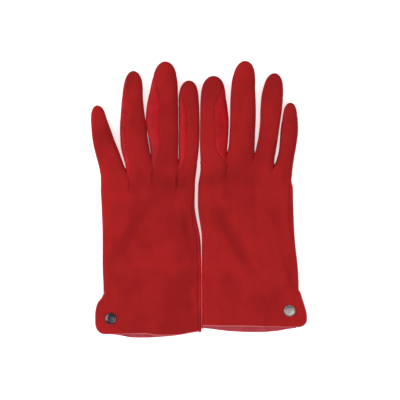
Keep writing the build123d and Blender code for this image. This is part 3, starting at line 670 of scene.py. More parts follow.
class Finish:
    """A material under construction: its node tree and a Principled shader."""

    def __init__(self, name):
        self.material = bpy.data.materials.new(name)
        self.material.use_nodes = True
        self.tree = self.material.node_tree
        self.shader = self.tree.nodes["Principled BSDF"]

    def node(self, kind, settings=None, ramp=None, out=0, **inputs):
        """Adds any node. Settings and ramp stops come first, then each named input is set or
        linked. Returns the output as a Value."""
        node = self.tree.nodes.new(kind)
        for key, item in (settings or {}).items():
            setattr(node, key, item)
        if ramp:
            stops = node.color_ramp.elements
            while len(stops) < len(ramp):
                stops.new(0.5)
            for stop, (position, shade) in zip(stops, ramp):
                stop.position, stop.color = position, (shade, shade, shade, 1.0)
        for key, item in inputs.items():
            socket = node.inputs[int(key[1:])] if key[0] == "_" else node.inputs[key.replace("_", " ")]
            self.feed(socket, item)
        return Value(self.tree, node.outputs[out])

    def feed(self, socket, item):
        if isinstance(item, Value):
            self.tree.links.new(item.socket, socket)
        else:
            socket.default_value = item

    def place(self, scale=(1, 1, 1)):
        """Object coordinates in metres, scaled along each axis."""
        where = self.node("ShaderNodeTexCoord", out=3)
        return self.node("ShaderNodeMapping", Vector=where, Scale=scale)

    def noise(self, size_mm, detail=2.0, rough=0.5, where=None, stretch=(1, 1, 1)):
        """Noise from 0 to 1 whose grains are about size_mm across."""
        spot = where or self.place(tuple(stretch))
        return self.node("ShaderNodeTexNoise", Vector=spot, Scale=1000.0 / size_mm, Detail=detail,
                         Roughness=rough)

    def band(self, value, low, high):
        """0 below low, 1 above high, smooth between."""
        return self.node("ShaderNodeMapRange", {"interpolation_type": "SMOOTHSTEP"}, Value=value,
                         From_Min=low, From_Max=high)

    def mix(self, factor, first, second):
        """A colour between two colours."""
        return self.node("ShaderNodeMix", {"data_type": "RGBA"}, out=2, _0=factor, _6=first, _7=second)

    def stored(self, name):
        """A distance stored on the points, in millimetres."""
        return self.node("ShaderNodeAttribute", {"attribute_name": name}, out=2)

    def surface(self, colour, roughness, height=None, depth_mm=0.1, **constants):
        """Links the changing sockets, sets the constant ones, and bumps the normal by a height."""
        self.feed(self.shader.inputs["Base Color"], colour)
        self.feed(self.shader.inputs["Roughness"], roughness)
        if height is not None:
            bump = self.node("ShaderNodeBump", Height=height, Distance=depth_mm * MM, Strength=1.0)
            self.feed(self.shader.inputs["Normal"], bump)
        for key, item in constants.items():
            self.shader.inputs[key.replace("_", " ")].default_value = item
        return self.material


print("shader helpers ready")

# %% [markdown]
# ## Suede, smooth leather, and the rest
# Suede is leather split and brushed to a short nap. It is matt, with a pale sheen at grazing
# angles, and it shows cloudy patches where the nap was stroked one way or the other. Along the
# folds it is painted darker, as painted shade. The gussets and the palm are the grain side:
# brighter, smoother, with fine pores and a soft gloss.
# Along every seam the thread pulls the leather into small even puckers.

# %% leathers
SUEDE_RED, SUEDE_DARK = (0.350, 0.0125, 0.0130, 1), (0.265, 0.0095, 0.0105, 1)
# The last colour on the next line is painted shade for the fold valleys.
SUEDE_LIGHT, SUEDE_PAINTED_FOLD_SHADE = (0.410, 0.019, 0.020, 1), (0.215, 0.0085, 0.0095, 1)
GRAIN_RED, GRAIN_DARK = (0.430, 0.0022, 0.0070, 1), (0.280, 0.0020, 0.0045, 1)
GRAIN_LIGHT = (0.460, 0.009, 0.013, 1)
CUT_PINK = (0.62, 0.190, 0.210, 1)
STITCH_PITCH = 2.1                      # one stitch, in millimetres


def pucker(finish, seam, reach=2.6):
    """Small ridges across a seam, one for each stitch, that die away from it."""
    where = finish.node("ShaderNodeSeparateXYZ", out=1, Vector=finish.place())
    wave = finish.node("ShaderNodeMath", {"operation": "SINE"}, _0=where * (2 * math.pi / (STITCH_PITCH * MM)))
    return (wave * 0.5 + 0.5) * (1 - finish.band(seam, 0.3, reach))


def suede():
    finish = Finish("suede")
    seam, edge = finish.stored("seam"), finish.stored("edge")
    clouds = finish.noise(34.0, 3.0, 0.55, stretch=(1.0, 0.7, 1.0))
    stroked = finish.noise(9.0, 2.0, 0.6, stretch=(1.0, 0.45, 1.0))
    nap = finish.noise(0.55, 3.0, 0.7)
    fibres = finish.noise(0.30, 2.0, 0.6, stretch=(1.0, 0.35, 1.0))
    shade = clouds * 0.75 + stroked * 0.25
    colour = finish.mix(finish.band(shade, 0.36, 0.64), SUEDE_DARK, SUEDE_RED)
    colour = finish.mix(finish.band(nap, 0.45, 0.80) * 0.35, colour, SUEDE_LIGHT)
    colour = finish.mix((1 - finish.band(seam, 0.0, 1.1)) * 0.35, colour, SUEDE_DARK)
    # Painted shade: the suede is darkened by the stored fold depth, along the fold valleys.
    colour = finish.mix(finish.band(finish.stored("fold"), 0.10, 1.4) * 0.60, colour, SUEDE_PAINTED_FOLD_SHADE)
    colour = finish.mix((1 - finish.band(edge, 0.25, 0.95)) * 0.8, colour, CUT_PINK)
    height = nap * 0.55 + fibres * 0.30 + stroked * 0.15 + pucker(finish, seam) * 0.9
    return finish.surface(colour, 0.86 + nap * 0.12, height, 0.22, Sheen_Weight=0.75,
                          Sheen_Roughness=0.28, Sheen_Tint=(1.0, 0.42, 0.42, 1), Specular_IOR_Level=0.06)


def smooth_leather():
    finish = Finish("smooth_leather")
    seam, edge = finish.stored("seam"), finish.stored("edge")
    clouds = finish.noise(22.0, 3.0, 0.55)
    pores = finish.node("ShaderNodeTexVoronoi", {"feature": "DISTANCE_TO_EDGE"}, Vector=finish.place(),
                        Scale=1000.0 / 0.5)
    creases = finish.noise(3.2, 3.0, 0.6, stretch=(1.0, 0.4, 1.0))
    colour = finish.mix(finish.band(clouds, 0.35, 0.65), GRAIN_DARK, GRAIN_RED)
    colour = finish.mix(finish.band(creases, 0.52, 0.75) * 0.4, colour, GRAIN_LIGHT)
    colour = finish.mix((1 - finish.band(seam, 0.0, 0.9)) * 0.5, colour, GRAIN_DARK)
    colour = finish.mix((1 - finish.band(edge, 0.15, 0.8)) * 0.7, colour, CUT_PINK)
    height = finish.band(pores, 0.0, 0.10) * 0.22 + creases * 0.5 + pucker(finish, seam) * 0.9
    return finish.surface(colour, 0.46 + creases * 0.16, height, 0.10, Specular_IOR_Level=0.16)


def raw_side(name, base, pale):
    """The flesh side or cut edge of leather: loose pale fibres."""
    finish = Finish(name)
    fibres = finish.noise(0.45, 3.0, 0.7, stretch=(1.0, 0.5, 1.0))
    patches = finish.noise(7.0, 2.0, 0.5)
    colour = finish.mix(finish.band(fibres * 0.6 + patches * 0.4, 0.40, 0.66), base, pale)
    return finish.surface(colour, 0.84 + fibres * 0.12, fibres, 0.12, Sheen_Weight=0.3, Sheen_Roughness=0.5,
                          Sheen_Tint=(1.0, 0.6, 0.6, 1), Specular_IOR_Level=0.2)


def knitted_lining():
    """A fine jersey: rows of small loops, from two waves on the piece's real-size UVs."""
    finish = Finish("knitted_lining")
    uv = finish.node("ShaderNodeTexCoord", out=2)
    across = finish.node("ShaderNodeSeparateXYZ", out=0, Vector=uv)
    along = finish.node("ShaderNodeSeparateXYZ", out=1, Vector=uv)
    def sine(value):
        return finish.node("ShaderNodeMath", {"operation": "SINE"}, _0=value)
    column = sine(across * (2 * math.pi / 0.0011))
    loop = sine(along * (2 * math.pi / 0.0008) + column * 1.4)
    knit = (column * 0.5 + 0.5) * 0.55 + (loop * 0.5 + 0.5) * 0.45
    fuzz = finish.noise(1.4, 2.0, 0.6)
    colour = finish.mix(knit * 0.7 + fuzz * 0.3, (0.150, 0.010, 0.012, 1), (0.330, 0.030, 0.034, 1))
    return finish.surface(colour, 0.9, knit + fuzz * 0.3, 0.14, Sheen_Weight=0.35, Sheen_Roughness=0.5,
                          Sheen_Tint=(1.0, 0.6, 0.6, 1), Specular_IOR_Level=0.2)


def touch_leather():
    """The conducting pad: a slightly darker, closer leather with a faint metallic fleck."""
    finish = Finish("touch_pad")
    grain = finish.noise(0.5, 3.0, 0.6)
    fleck = finish.band(finish.noise(0.35, 1.0, 0.4), 0.62, 0.72)
    colour = finish.mix(finish.band(grain, 0.35, 0.65), (0.20, 0.010, 0.013, 1), (0.30, 0.016, 0.020, 1))
    colour = finish.mix(fleck * 0.25, colour, (0.40, 0.14, 0.13, 1))
    return finish.surface(colour, 0.62 - fleck * 0.25, grain, 0.08, Specular_IOR_Level=0.4)


def thread():
    finish = Finish("red_thread")
    ply = finish.node("ShaderNodeTexWave", {"bands_direction": "DIAGONAL"}, Vector=finish.place(),
                      Scale=1000.0, Distortion=0.5)
    colour = finish.mix(ply, (0.26, 0.012, 0.016, 1), (0.42, 0.022, 0.028, 1))
    return finish.surface(colour, 0.55 + ply * 0.1, ply, 0.05, Sheen_Weight=0.2)


def nickel(name, base, tarnish, roughness):
    """Plated brass: fine turning lines, small dulled spots, and a little uneven polish."""
    finish = Finish(name)
    spots = finish.band(finish.noise(1.6, 3.0, 0.6), 0.50, 0.70)
    brushed = finish.noise(0.25, 2.0, 0.5, stretch=(1.0, 0.12, 1.0))
    colour = finish.mix(spots * 0.6, base, tarnish)
    return finish.surface(colour, roughness + spots * 0.16 + brushed * 0.06, brushed, 0.01, Metallic=1.0)


SUEDE, GRAIN = suede(), smooth_leather()
FLESH = raw_side("flesh_side", (0.32, 0.030, 0.036, 1), (0.44, 0.080, 0.090, 1))
CUT = raw_side("cut_edge", (0.40, 0.060, 0.072, 1), (0.56, 0.150, 0.165, 1))
FACING = raw_side("facing", (0.36, 0.030, 0.045, 1), (0.46, 0.070, 0.085, 1))
KNIT, PAD, THREAD = knitted_lining(), touch_leather(), thread()
# Both cap finishes are one nickel with a painted reflection: painted dark for the left cap, painted bright for the
# right.
NICKEL_PAINTED_DARK_REFLECTION = nickel("nickel_painted_dark_reflection", (0.055, 0.046, 0.056, 1), (0.17, 0.12, 0.12, 1), 0.16)
NICKEL_PAINTED_BRIGHT_REFLECTION = nickel("nickel_painted_bright_reflection", (0.23, 0.205, 0.195, 1), (0.17, 0.155, 0.15, 1), 0.22)
PLAIN_NICKEL = nickel("plain_nickel", (0.52, 0.50, 0.47, 1), (0.36, 0.32, 0.30, 1), 0.32)
print(len(bpy.data.materials), "materials")


def dress(piece, *materials):
    """Gives a piece its materials: outer face, inner face, cut rim."""
    for material in materials:
        piece.data.materials.append(material)
    return piece


# %% [markdown]
# ## Sewing it together
# Every piece is now a slice of a grid with its own thickness. The hand pieces ride on the hand.
# A finger's pieces stay where they are built, with their transforms baked in, and are put on no
# body.

# %% hand pieces
FACING_DEPTH = 22.0


def offset(grid, depth, closed=False, axis_out=None):
    """The grid drawn in by depth along its normals."""
    normal = grid_normals(grid, closed)
    if axis_out is not None:
        normal[-1] = axis_out
    return grid - normal * depth


def thumb_hole(glove, grid, radius):
    """Drops the palm's cells round the thumb, and draws their border out to a true circle."""
    centre = place(glove["thumb"])
    away = grid[..., :2] - centre
    gap = np.linalg.norm(away, axis=2)
    inside = gap < radius
    keep = ~(inside[:-1, :-1] & inside[1:, :-1] & inside[1:, 1:] & inside[:-1, 1:])
    moved = grid.copy()
    border = inside & (gap > radius - 2.0)
    scale = np.where(border, radius / np.maximum(gap, 1e-6), 1.0)
    moved[..., :2] = centre + away * scale[..., None]
    touched = np.zeros(inside.shape, bool)
    for rows, columns in ((slice(None, -1), slice(None, -1)), (slice(1, None), slice(None, -1)),
                          (slice(1, None), slice(1, None)), (slice(None, -1), slice(1, None))):
        touched[rows, columns] |= keep
    return np.where((inside & touched)[..., None], moved, grid), keep


def lining_under(grid, depth):
    """The grid moved inwards by depth: straight up or down over the middle of the hand, and along
    its normals near the sides. A lining doesn't follow the narrow grooves between the fingers,
    where drawing in along the normals would carry it through the leather on the other side."""
    normal = grid_normals(grid)
    share = np.linspace(0, 1, grid.shape[1])
    middle = step(np.minimum(share, 1 - share), 0.05, 0.15)[None, :, None]
    straight = np.array([0.0, 0.0, -np.sign(normal[..., 2].mean())]) * depth
    return grid + middle * straight - (1 - middle) * normal * depth


HOLE_RADIUS = COLLAR_RADIUS + 0.4
for side, glove in GLOVES.items():
    hand = f"{side}_hand"
    grid, seam, edge, fold = back_grids[side]
    back = sheet_mesh(f"{side}_back", [flat_part(grid, offset(grid, LEATHER), None, seam, edge, fold)])
    dress(back, SUEDE, FLESH, CUT)
    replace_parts(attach(back, hand), f"{side}_back_panel")

    palm_grid, palm_seam, palm_edge, _ = palm_grids[side]
    cut, keep = thumb_hole(glove, palm_grid, HOLE_RADIUS)
    inner = offset(palm_grid, LEATHER)
    inner[..., :2] += cut[..., :2] - palm_grid[..., :2]
    palm = sheet_mesh(f"{side}_palm", [flat_part(cut, inner, keep, palm_seam, palm_edge)])
    dress(palm, GRAIN, FLESH, CUT)
    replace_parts(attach(palm, hand), f"{side}_palm_panel")

    depth = hand_rows(glove) - hand_rows(glove)[0]
    band = (depth >= 0.5) & (depth <= FACING_DEPTH)
    parts = [flat_part(offset(g, LEATHER + 0.05)[band], offset(g, LEATHER + LINING)[band], seam=None,
                       edge=(depth[band, None] - 0.5) + 0 * g[band, :, 0])
             for g in (grid, palm_grid)]
    facing = dress(sheet_mesh(f"{side}_cuff_band", parts), FACING, FACING, CUT)
    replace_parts(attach(facing, hand), f"{side}_cuff_facing")

    deep = depth >= FACING_DEPTH - 3.0
    parts = []
    for g, hole in ((grid, None), (palm_grid, keep)):
        mask = None if hole is None else hole[deep[:-1] & deep[1:]]
        parts.append(flat_part(lining_under(g, LEATHER + LINING + 0.15)[deep],
                               lining_under(g, LEATHER + 2 * LINING)[deep], mask))
    liner = dress(sheet_mesh(f"{side}_hand_liner", parts), KNIT, KNIT, KNIT)
    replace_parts(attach(liner, hand), f"{side}_hand_lining")
    print(side, "hand:", [len(o.data.polygons) for o in (back, palm, facing, liner)], "faces")

# %% [markdown]
# ## The fingers' pieces
# Back, palm and gussets are slices of the finger's grid between its seams. They could be one tube
# with painted seams, but separate sheets give each leather its own material and a real cut edge.
# The lining is a coarser tube inside them.


def bend(piece, line):
    """Bakes the piece's transform into its mesh. The root line's forward direction is worked out but not used."""
    a, b = line["a"], line["b"]
    ahead = np.array([-(b - a)[1], (b - a)[0]]) / np.hypot(*(b - a))
    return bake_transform(piece)


def cut_strip(grid, inner, distance, starts, label, rows=None):
    """One strip of a finger between two seams, as a sheet of its own."""
    first, count = starts[label]
    columns = (first + np.arange(count + 1)) % grid.shape[1]
    rows = slice(None) if rows is None else rows
    return flat_part(grid[rows][:, columns], inner[rows][:, columns], seam=distance[rows][:, columns])


for side, glove in GLOVES.items():
    for name, (grid, starts, line, distance) in zip(ORDER[side], hands[side]):
        normal = finger_normals(grid, starts, line)
        inner = grid - normal * LEATHER
        pieces = []
        for label, material, slot_name in (("back", SUEDE, "suede"), ("palm", GRAIN, "smooth_leather")):
            piece = sheet_mesh(f"{side}_{name}_{label}_leather", [cut_strip(grid, inner, distance, starts, label)])
            dress(piece, material, FLESH, CUT)
            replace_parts(bend(piece, line), f"{side}_{name}_{label}")
            pieces.append(piece)
        rows = np.arange(np.searchsorted(line["v"], GUSSET_OUT) + 1)
        gussets = [cut_strip(grid, inner, distance, starts, label, rows)
                   for label in ("gusset_left", "gusset_right") if label in starts]
        piece = dress(sheet_mesh(f"{side}_{name}_gussets", gussets), GRAIN, FLESH, CUT)
        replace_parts(bend(piece, line), f"{side}_{name}_fourchettes")
        pieces.append(piece)
        rows = np.append(np.arange(0, len(grid) - 6, 2), len(grid) - 5)
        around = np.append(np.arange(0, grid.shape[1], 2), 0)
        coarse = [(grid - normal * depth)[rows][:, around] for depth in (LEATHER + 0.15, LEATHER + LINING)]
        liner = sheet_mesh(f"{side}_{name}_liner", [flat_part(*coarse)])
        dress(liner, KNIT, KNIT, KNIT)
        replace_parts(bend(liner, line), f"{side}_{name}_lining")
        print(side, name, [len(o.data.polygons) for o in (*pieces, liner)], "faces")

# %% [markdown]
# ## The snap tab
# Below the wrist the outer side of each cuff is slit, and the back's leather runs on past the slit
# as a rounded tab that snaps down onto the palm. It is the same suede, faced on its underside. Its
# grid runs from the fold line out to the rounded outline, so both ends close to a point, and the
# outline is a smooth curve through a few points taken by their distance along it.

# %% tab
FACING_INSET = 1.3
TAB_DROOP = 0.5


def through(points, share):
    """A smooth plan curve through points, at shares of its chord length."""
    points = np.asarray(points, float)
    at = np.concatenate([[0.0], np.hypot(*np.diff(points, axis=0).T).cumsum()])
    at /= at[-1]
    return np.stack([curve(np.stack([at, points[:, axis]], axis=1), share) for axis in (0, 1)], axis=-1)


def tab_grid(glove, inset=0.0):
    """Rows run from the fold line to the outline, columns along the fold line: a straight
    blend between the two, on the tab's plane, with a slight droop towards the outline."""
    outward = 1 - (1 - np.linspace(0, 1, 27))**1.8
    share = spread(72, 0.5)
    if glove["outer"] > 0:
        share = share[::-1]
    top, foot = np.array(glove["vent"], float)
    hinge = top + share[:, None] * (foot - top)
    outline = through(glove["tab"], share)
    reach = np.hypot(*(outline - hinge).T)
    outline = hinge + (outline - hinge) * np.clip(1 - inset / np.maximum(reach, 1e-3), 0, 1)[:, None]
    plan = hinge[None] + outward[:, None, None] * (outline - hinge)[None]
    edge = (1 - outward)[:, None] * np.maximum(reach - inset, 0)[None]
    z = tab_plane(glove, plan[..., 0], plan[..., 1]) - TAB_DROOP * (outward**2)[:, None]
    from_top = np.hypot(*(hinge - top).T)
    near = np.clip(1 - edge / ROLLED, 0, 1) * step(from_top, 0.5, 5.0)[None]
    z = z - ROLLED * 0.8 * (1 - np.sqrt(1 - 0.96 * near**2))
    return np.concatenate([plan - ORIGIN, z[..., None]], axis=2), edge


def bend_tab(piece, glove):
    """Bakes the tab piece's transform into its mesh. The outward direction from the fold line is worked out but
    not used.
    """
    top, foot = place(glove["vent"][0]), place(glove["vent"][1])
    outward = np.array([(foot - top)[1], -(foot - top)[0]]) * -glove["outer"]
    outward = outward / np.hypot(*outward)
    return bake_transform(piece)


for side, glove in GLOVES.items():
    grid, edge = tab_grid(glove)
    flat_up = np.zeros_like(grid) + (0.0, 0.0, 1.0)
    tab = sheet_mesh(f"{side}_tab_leather", [flat_part(grid, grid - flat_up * LEATHER, edge=edge)])
    dress(tab, SUEDE, FLESH, CUT)
    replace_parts(bend_tab(tab, glove), f"{side}_cuff_tab")
    small, small_edge = tab_grid(glove, FACING_INSET)
    under = sheet_mesh(f"{side}_tab_backing", [flat_part(small - flat_up * (LEATHER + 0.03),
                                                         small - flat_up * (LEATHER + LINING), edge=small_edge)])
    dress(under, FACING, FACING, CUT)
    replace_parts(bend_tab(under, glove), f"{side}_tab_facing")
    points = grid.reshape(-1, 3)
    print(side, "tab reaches", np.round((points.min(axis=0), points.max(axis=0)), 1).tolist())

# %% [markdown]
# ## The snap
# A snap's cap is a thin pressed disc with a rolled rim, closed over a post that grips the
# leather. It is a lathe: one profile, carried round the axis that stands square to the tab. Both
# caps are the same nickel, but the left cap is painted darker and the right one brighter, as
# painted reflections. The socket, the stud and its back plate are small turned parts whose CAD
# shapes are right, so they stay and only get metal.

# %% snap caps
CAP_PROFILE = ((0.0, 1.30), (1.5, 1.28), (2.8, 1.20), (3.7, 1.07), (4.15, 0.96), (4.32, 0.90), (4.45, 0.98),
               (4.62, 1.12), (4.82, 1.14), (5.00, 1.02), (5.10, 0.78), (5.10, 0.45), (5.02, 0.12), (4.85, -0.02),
               (4.5, -0.06), (0.0, -0.06))


def lathe(name, centre, axis, profile, count=96):
    """A closed turned form: each profile point (radius, height) goes once round the axis."""
    profile = np.array(profile, float)
    axis = np.asarray(axis, float) / np.linalg.norm(axis)
    first = np.cross((0.0, 1.0, 0.0), axis)
    first /= np.linalg.norm(first)
    second = np.cross(axis, first)
    turn = np.linspace(0, 2 * math.pi, count, endpoint=False)
    ring = np.cos(turn)[:, None] * first + np.sin(turn)[:, None] * second
    points = centre + profile[:, None, :1] * ring[None] + profile[:, None, 1:] * axis
    index = np.arange(len(profile) * count).reshape(len(profile), count)
    after = np.roll(index, -1, axis=1)
    faces = np.stack([index[:-1], index[1:], after[1:], after[:-1]], axis=2).reshape(-1, 4)
    mesh = bpy.data.meshes.new(name)
    mesh.from_pydata(points.reshape(-1, 3) * MM, [], faces.tolist())
    mesh.polygons.foreach_set("use_smooth", np.ones(len(faces), bool))
    clean_up(mesh)
    return put(name, mesh)


for side, glove in GLOVES.items():
    x, y = glove["snap"]
    dx = tab_plane(glove, x + 1, y) - tab_plane(glove, x, y)
    dy = tab_plane(glove, x, y + 1) - tab_plane(glove, x, y)
    centre = np.array([*place((x, y)), tab_plane(glove, x, y) - 0.05])
    cap = lathe(f"{side}_snap_button", centre, (-dx, -dy, 1.0), CAP_PROFILE)
    # Painted reflection: the left cap's nickel is painted dark and the right cap's nickel is painted bright.
    dress(cap, NICKEL_PAINTED_DARK_REFLECTION if side == "left" else NICKEL_PAINTED_BRIGHT_REFLECTION)
    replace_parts((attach(cap, f"{side}_tab"), "snap_dark" if side == "left" else "snap_bright")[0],
                f"{side}_snap_cap")
    for part in ("socket", "stud", "post"):
        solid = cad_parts[f"{side}_snap_{part}"]
        for slot_in_solid in solid.material_slots:
            slot_in_solid.material = PLAIN_NICKEL
    print(side, "cap centre", np.round(centre, 2).tolist(), "slots", len(solid.material_slots))

# %% [markdown]
# ## The thumb
# The thumbs are folded under the palms, so only the underside shows them. A thumb starts at a
# round hole in the palm, turns through a right angle like the heel of a sock, and runs out as a
# flat tube to its tip. The heel's sections turn about a line beside the hole, from the flat circle
# of the hole to the upright flat oval of the tube; the tube's sections then follow given widths.

# %% thumb
THUMB_SIZES = ((0.0, 25.4, 8.0), (16.0, 24.0, 8.0), (30.0, 21.5, 8.0), (41.0, 18.5, 7.4), (47.5, 14.5, 6.2),
               (50.6, 8.8, 4.0), (52.0, 0.4, 0.4))
THUMB_START = 12.0                      # where the heel has become the tube
THUMB_FLOOR = 0.45
THUMB_SIDES = 64


def thumb_surface(glove, collar_height):
    """Closed grid from the collar circle to the tip. u runs from the heel, -1, to the toe side, 1."""
    lean = math.radians(THUMB_LEAN) * glove["outer"]
    ahead = np.array([math.sin(lean), math.cos(lean)])
    aside = np.array([math.cos(lean), -math.sin(lean)])
    turn = np.linspace(0, 2 * math.pi, THUMB_SIDES, endpoint=False)
    round_u, round_w = np.cos(turn), np.sin(turn)
    flat_u, flat_w = oval(turn, 2.6)
    bend_angle = np.linspace(0, math.pi / 2, 26)[:, None]
    share = np.sin(bend_angle)**1.5
    u = round_u * (1 - share) + flat_u * share
    width, height = (float(curve([(d, s[i]) for d, *s in THUMB_SIZES], THUMB_START)) / 2 for i in (0, 1))
    w = COLLAR_RADIUS * round_w * (1 - share) + width * flat_w * share
    reach = THUMB_START - COLLAR_RADIUS * u
    cosine, sine = np.cos(bend_angle)**(2 / 2.4), np.sin(bend_angle)**(2 / 2.4)
    distance = THUMB_START - reach * cosine
    level = THUMB_FLOOR + height * (1 + u)
    z = collar_height - (collar_height - level) * sine
    heel = np.stack([distance, w, z], axis=2)
    toe = 42 + 10 * (1 - (1 - np.linspace(0, 1, 17)[1:])**2)
    along = np.concatenate([np.linspace(THUMB_START, 42, 26)[1:], toe])
    tube_width = curve([(d, a / 2) for d, a, _ in THUMB_SIZES], along)[:, None]
    tube_height = curve([(d, b / 2) for d, _, b in THUMB_SIZES], along)[:, None]
    middle = THUMB_FLOOR + height - 0.6 * step(along, 30, 52)[:, None]
    tube = np.stack([np.broadcast_to(along[:, None], (len(along), len(turn))), tube_width * flat_w,
                     middle + tube_height * flat_u], axis=2)
    local = np.concatenate([heel, tube])
    plan = place(glove["thumb"]) + local[..., :1] * ahead + local[..., 1:2] * aside
    return np.concatenate([plan, local[..., 2:]], axis=2), ahead


thumbs = {}
for side, glove in GLOVES.items():
    palm_grid = palm_grids[side][0]
    near = np.linalg.norm(palm_grid[..., :2] - place(glove["thumb"]), axis=2) < HOLE_RADIUS
    collar = float(palm_grid[near][:, 2].mean()) + 0.7
    grid, ahead = thumb_surface(glove, collar)
    around = np.linalg.norm(np.roll(grid, -1, axis=1) - grid, axis=2)
    seam_column = 16 if side == "left" else 48
    gap = np.abs(np.arange(THUMB_SIDES) - seam_column)
    seam = np.minimum(gap, THUMB_SIDES - gap)[None] * around.mean(axis=1)[:, None]
    seam[:2] = np.minimum(seam[:2], 0.6)
    if float(grid_normals(grid, True)[0, 0] @ np.array([*ahead, 0.0])) < 0:
        grid, seam = grid[:, ::-1], seam[:, ::-1]
    groove = np.ones((len(grid), 1))
    groove[-5:, 0] = (0.8, 0.5, 0.25, 0.1, 0.0)
    grid = sew_in(grid, seam, groove, grid_normals(grid, True))
    tip_out = np.array([*ahead, 0.0])
    wrap = lambda g: np.concatenate([g, g[:, :1]], axis=1)
    shell = sheet_mesh(f"{side}_thumb_leather", [flat_part(wrap(grid), wrap(offset(grid, LEATHER, True, tip_out)),
                                                           seam=wrap(seam[..., None])[..., 0])])
    dress(shell, GRAIN, FLESH, CUT)
    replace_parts(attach(shell, f"{side}_thumb"), f"{side}_thumb_shell")
    liner = sheet_mesh(f"{side}_thumb_liner", [flat_part(wrap(offset(grid, LEATHER + 0.15, True, tip_out)),
                                                         wrap(offset(grid, LEATHER + LINING, True, tip_out)))])
    dress(liner, KNIT, KNIT, KNIT)
    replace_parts(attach(liner, f"{side}_thumb"), f"{side}_thumb_lining")
    thumbs[side] = (grid, ahead)
    print(side, "thumb collar at", round(collar, 2), "faces", len(shell.data.polygons))

# %% [markdown]
# ## Touch pads
# A touchscreen glove has a patch of conducting leather on the fingertip and the thumb tip, on the
# side that touches the screen, with a row of small stitches round its edge. The patch is a disc
# grid laid onto the finished surface: each of its points is read off the finger's grid and stands
# a little proud. The stitches are one mesh of short threads that follow the same ring.

# %% pads and stitches
PAD_LENGTH, PAD_WIDTH, PAD_PROUD = 15.0, 9.0, 0.32
STITCHES, STITCH_RINGS, STITCH_SIDES = 20, 9, 6
STITCH_RING = 0.88                      # where the stitches run, as a share of the pad


def read_grid(grid, row, column):
    """The point at a fractional row and column, mixed evenly from the four grid points about it."""
    r, c = np.floor(row).astype(int), np.floor(column).astype(int)
    a, b = (row - r)[..., None], (column - c)[..., None]
    after = (c + 1) % grid.shape[1]
    c = c % grid.shape[1]
    return ((grid[r, c] * (1 - b) + grid[r, after] * b) * (1 - a)
            + (grid[r + 1, c] * (1 - b) + grid[r + 1, after] * b) * a)


def pad_on(name, grid, row, column, row_gap, column_gap, body_fit, slot_names):
    """A stitched oval patch on a closed grid, about a row and column, whose cells there measure
    row_gap by column_gap. body_fit is called on the pad and on its stitches."""
    normal = grid_normals(grid, True)
    def lay(radius, turn, proud):
        rows = row + radius * np.sin(turn) * PAD_LENGTH / 2 / row_gap
        columns = column + radius * np.cos(turn) * PAD_WIDTH / 2 / column_gap
        return read_grid(grid, rows, columns) + read_grid(normal, rows, columns) * proud
    turn = np.linspace(0, 2 * math.pi, 49)[None]
    radius = np.array([0.0, 0.25, 0.5, 0.7, 0.84, 0.93, 0.98, 1.0])[:, None]
    proud = (PAD_PROUD * (1 - 0.55 * step(radius, 0.90, 1.0)))[..., None] + 0 * turn[..., None]
    face = lay(radius, turn, proud)
    if grid_normals(face)[4, 10] @ read_grid(normal, np.array([row]), np.array([column]))[0] < 0:
        turn, face = turn[:, ::-1], face[:, ::-1]
    back = lay(radius, turn, -0.1)
    pad = dress(sheet_mesh(f"{name}_pad", [flat_part(face, back)]), PAD, PAD, CUT)
    middle = np.linspace(0, 2 * math.pi, STITCHES, endpoint=False)
    t, s = np.meshgrid(np.linspace(-1, 1, STITCH_RINGS), np.linspace(0, 2 * math.pi, STITCH_SIDES + 1),
                       indexing="ij")
    parts = []
    centre = lay(STITCH_RING, middle[:, None] + 0.085 * t[None, :, 0], 0.0)
    rise = read_grid(normal, row + STITCH_RING * np.sin(middle) * PAD_LENGTH / 2 / row_gap,
                     column + STITCH_RING * np.cos(middle) * PAD_WIDTH / 2 / column_gap)
    along = np.gradient(centre, axis=1)
    along /= np.linalg.norm(along, axis=2, keepdims=True)
    across = np.cross(rise[:, None], along)
    thick = 0.26 * np.sqrt(1 - 0.97 * t[:, 0]**2)
    for i in range(STITCHES):
        arch = 0.30 + 0.10 * (1 - t[:, :1]**2)
        ring = (centre[i, :, None] + rise[i] * (arch + thick[:, None] * np.sin(s))[..., None]
                + across[i][:, None] * (thick[:, None] * np.cos(s))[..., None])
        parts.append(ring)
    points = np.concatenate([p[:, :-1].reshape(-1, 3) for p in parts]) * MM
    each = STITCH_RINGS * STITCH_SIDES
    index = np.arange(each).reshape(STITCH_RINGS, STITCH_SIDES)
    after = np.roll(index, -1, axis=1)
    sides = np.stack([index[:-1], index[1:], after[1:], after[:-1]], axis=2).reshape(-1, 4)
    faces = (sides[None] + (np.arange(STITCHES) * each)[:, None, None]).reshape(-1, 4).tolist()
    faces += [(index[0] + i * each).tolist() for i in range(STITCHES)]
    faces += [(index[-1][::-1] + i * each).tolist() for i in range(STITCHES)]
    mesh = bpy.data.meshes.new(f"{name}_stitches")
    mesh.from_pydata(points, [], faces)
    mesh.polygons.foreach_set("use_smooth", np.ones(len(faces), bool))
    work = bmesh.new()
    work.from_mesh(mesh)
    bmesh.ops.recalc_face_normals(work, faces=work.faces)
    work.to_mesh(mesh)
    work.free()
    stitches = dress(put(mesh.name, mesh), THREAD)
    for piece in (pad, stitches):
        body_fit(piece)
    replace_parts(pad, slot_names)
    return pad


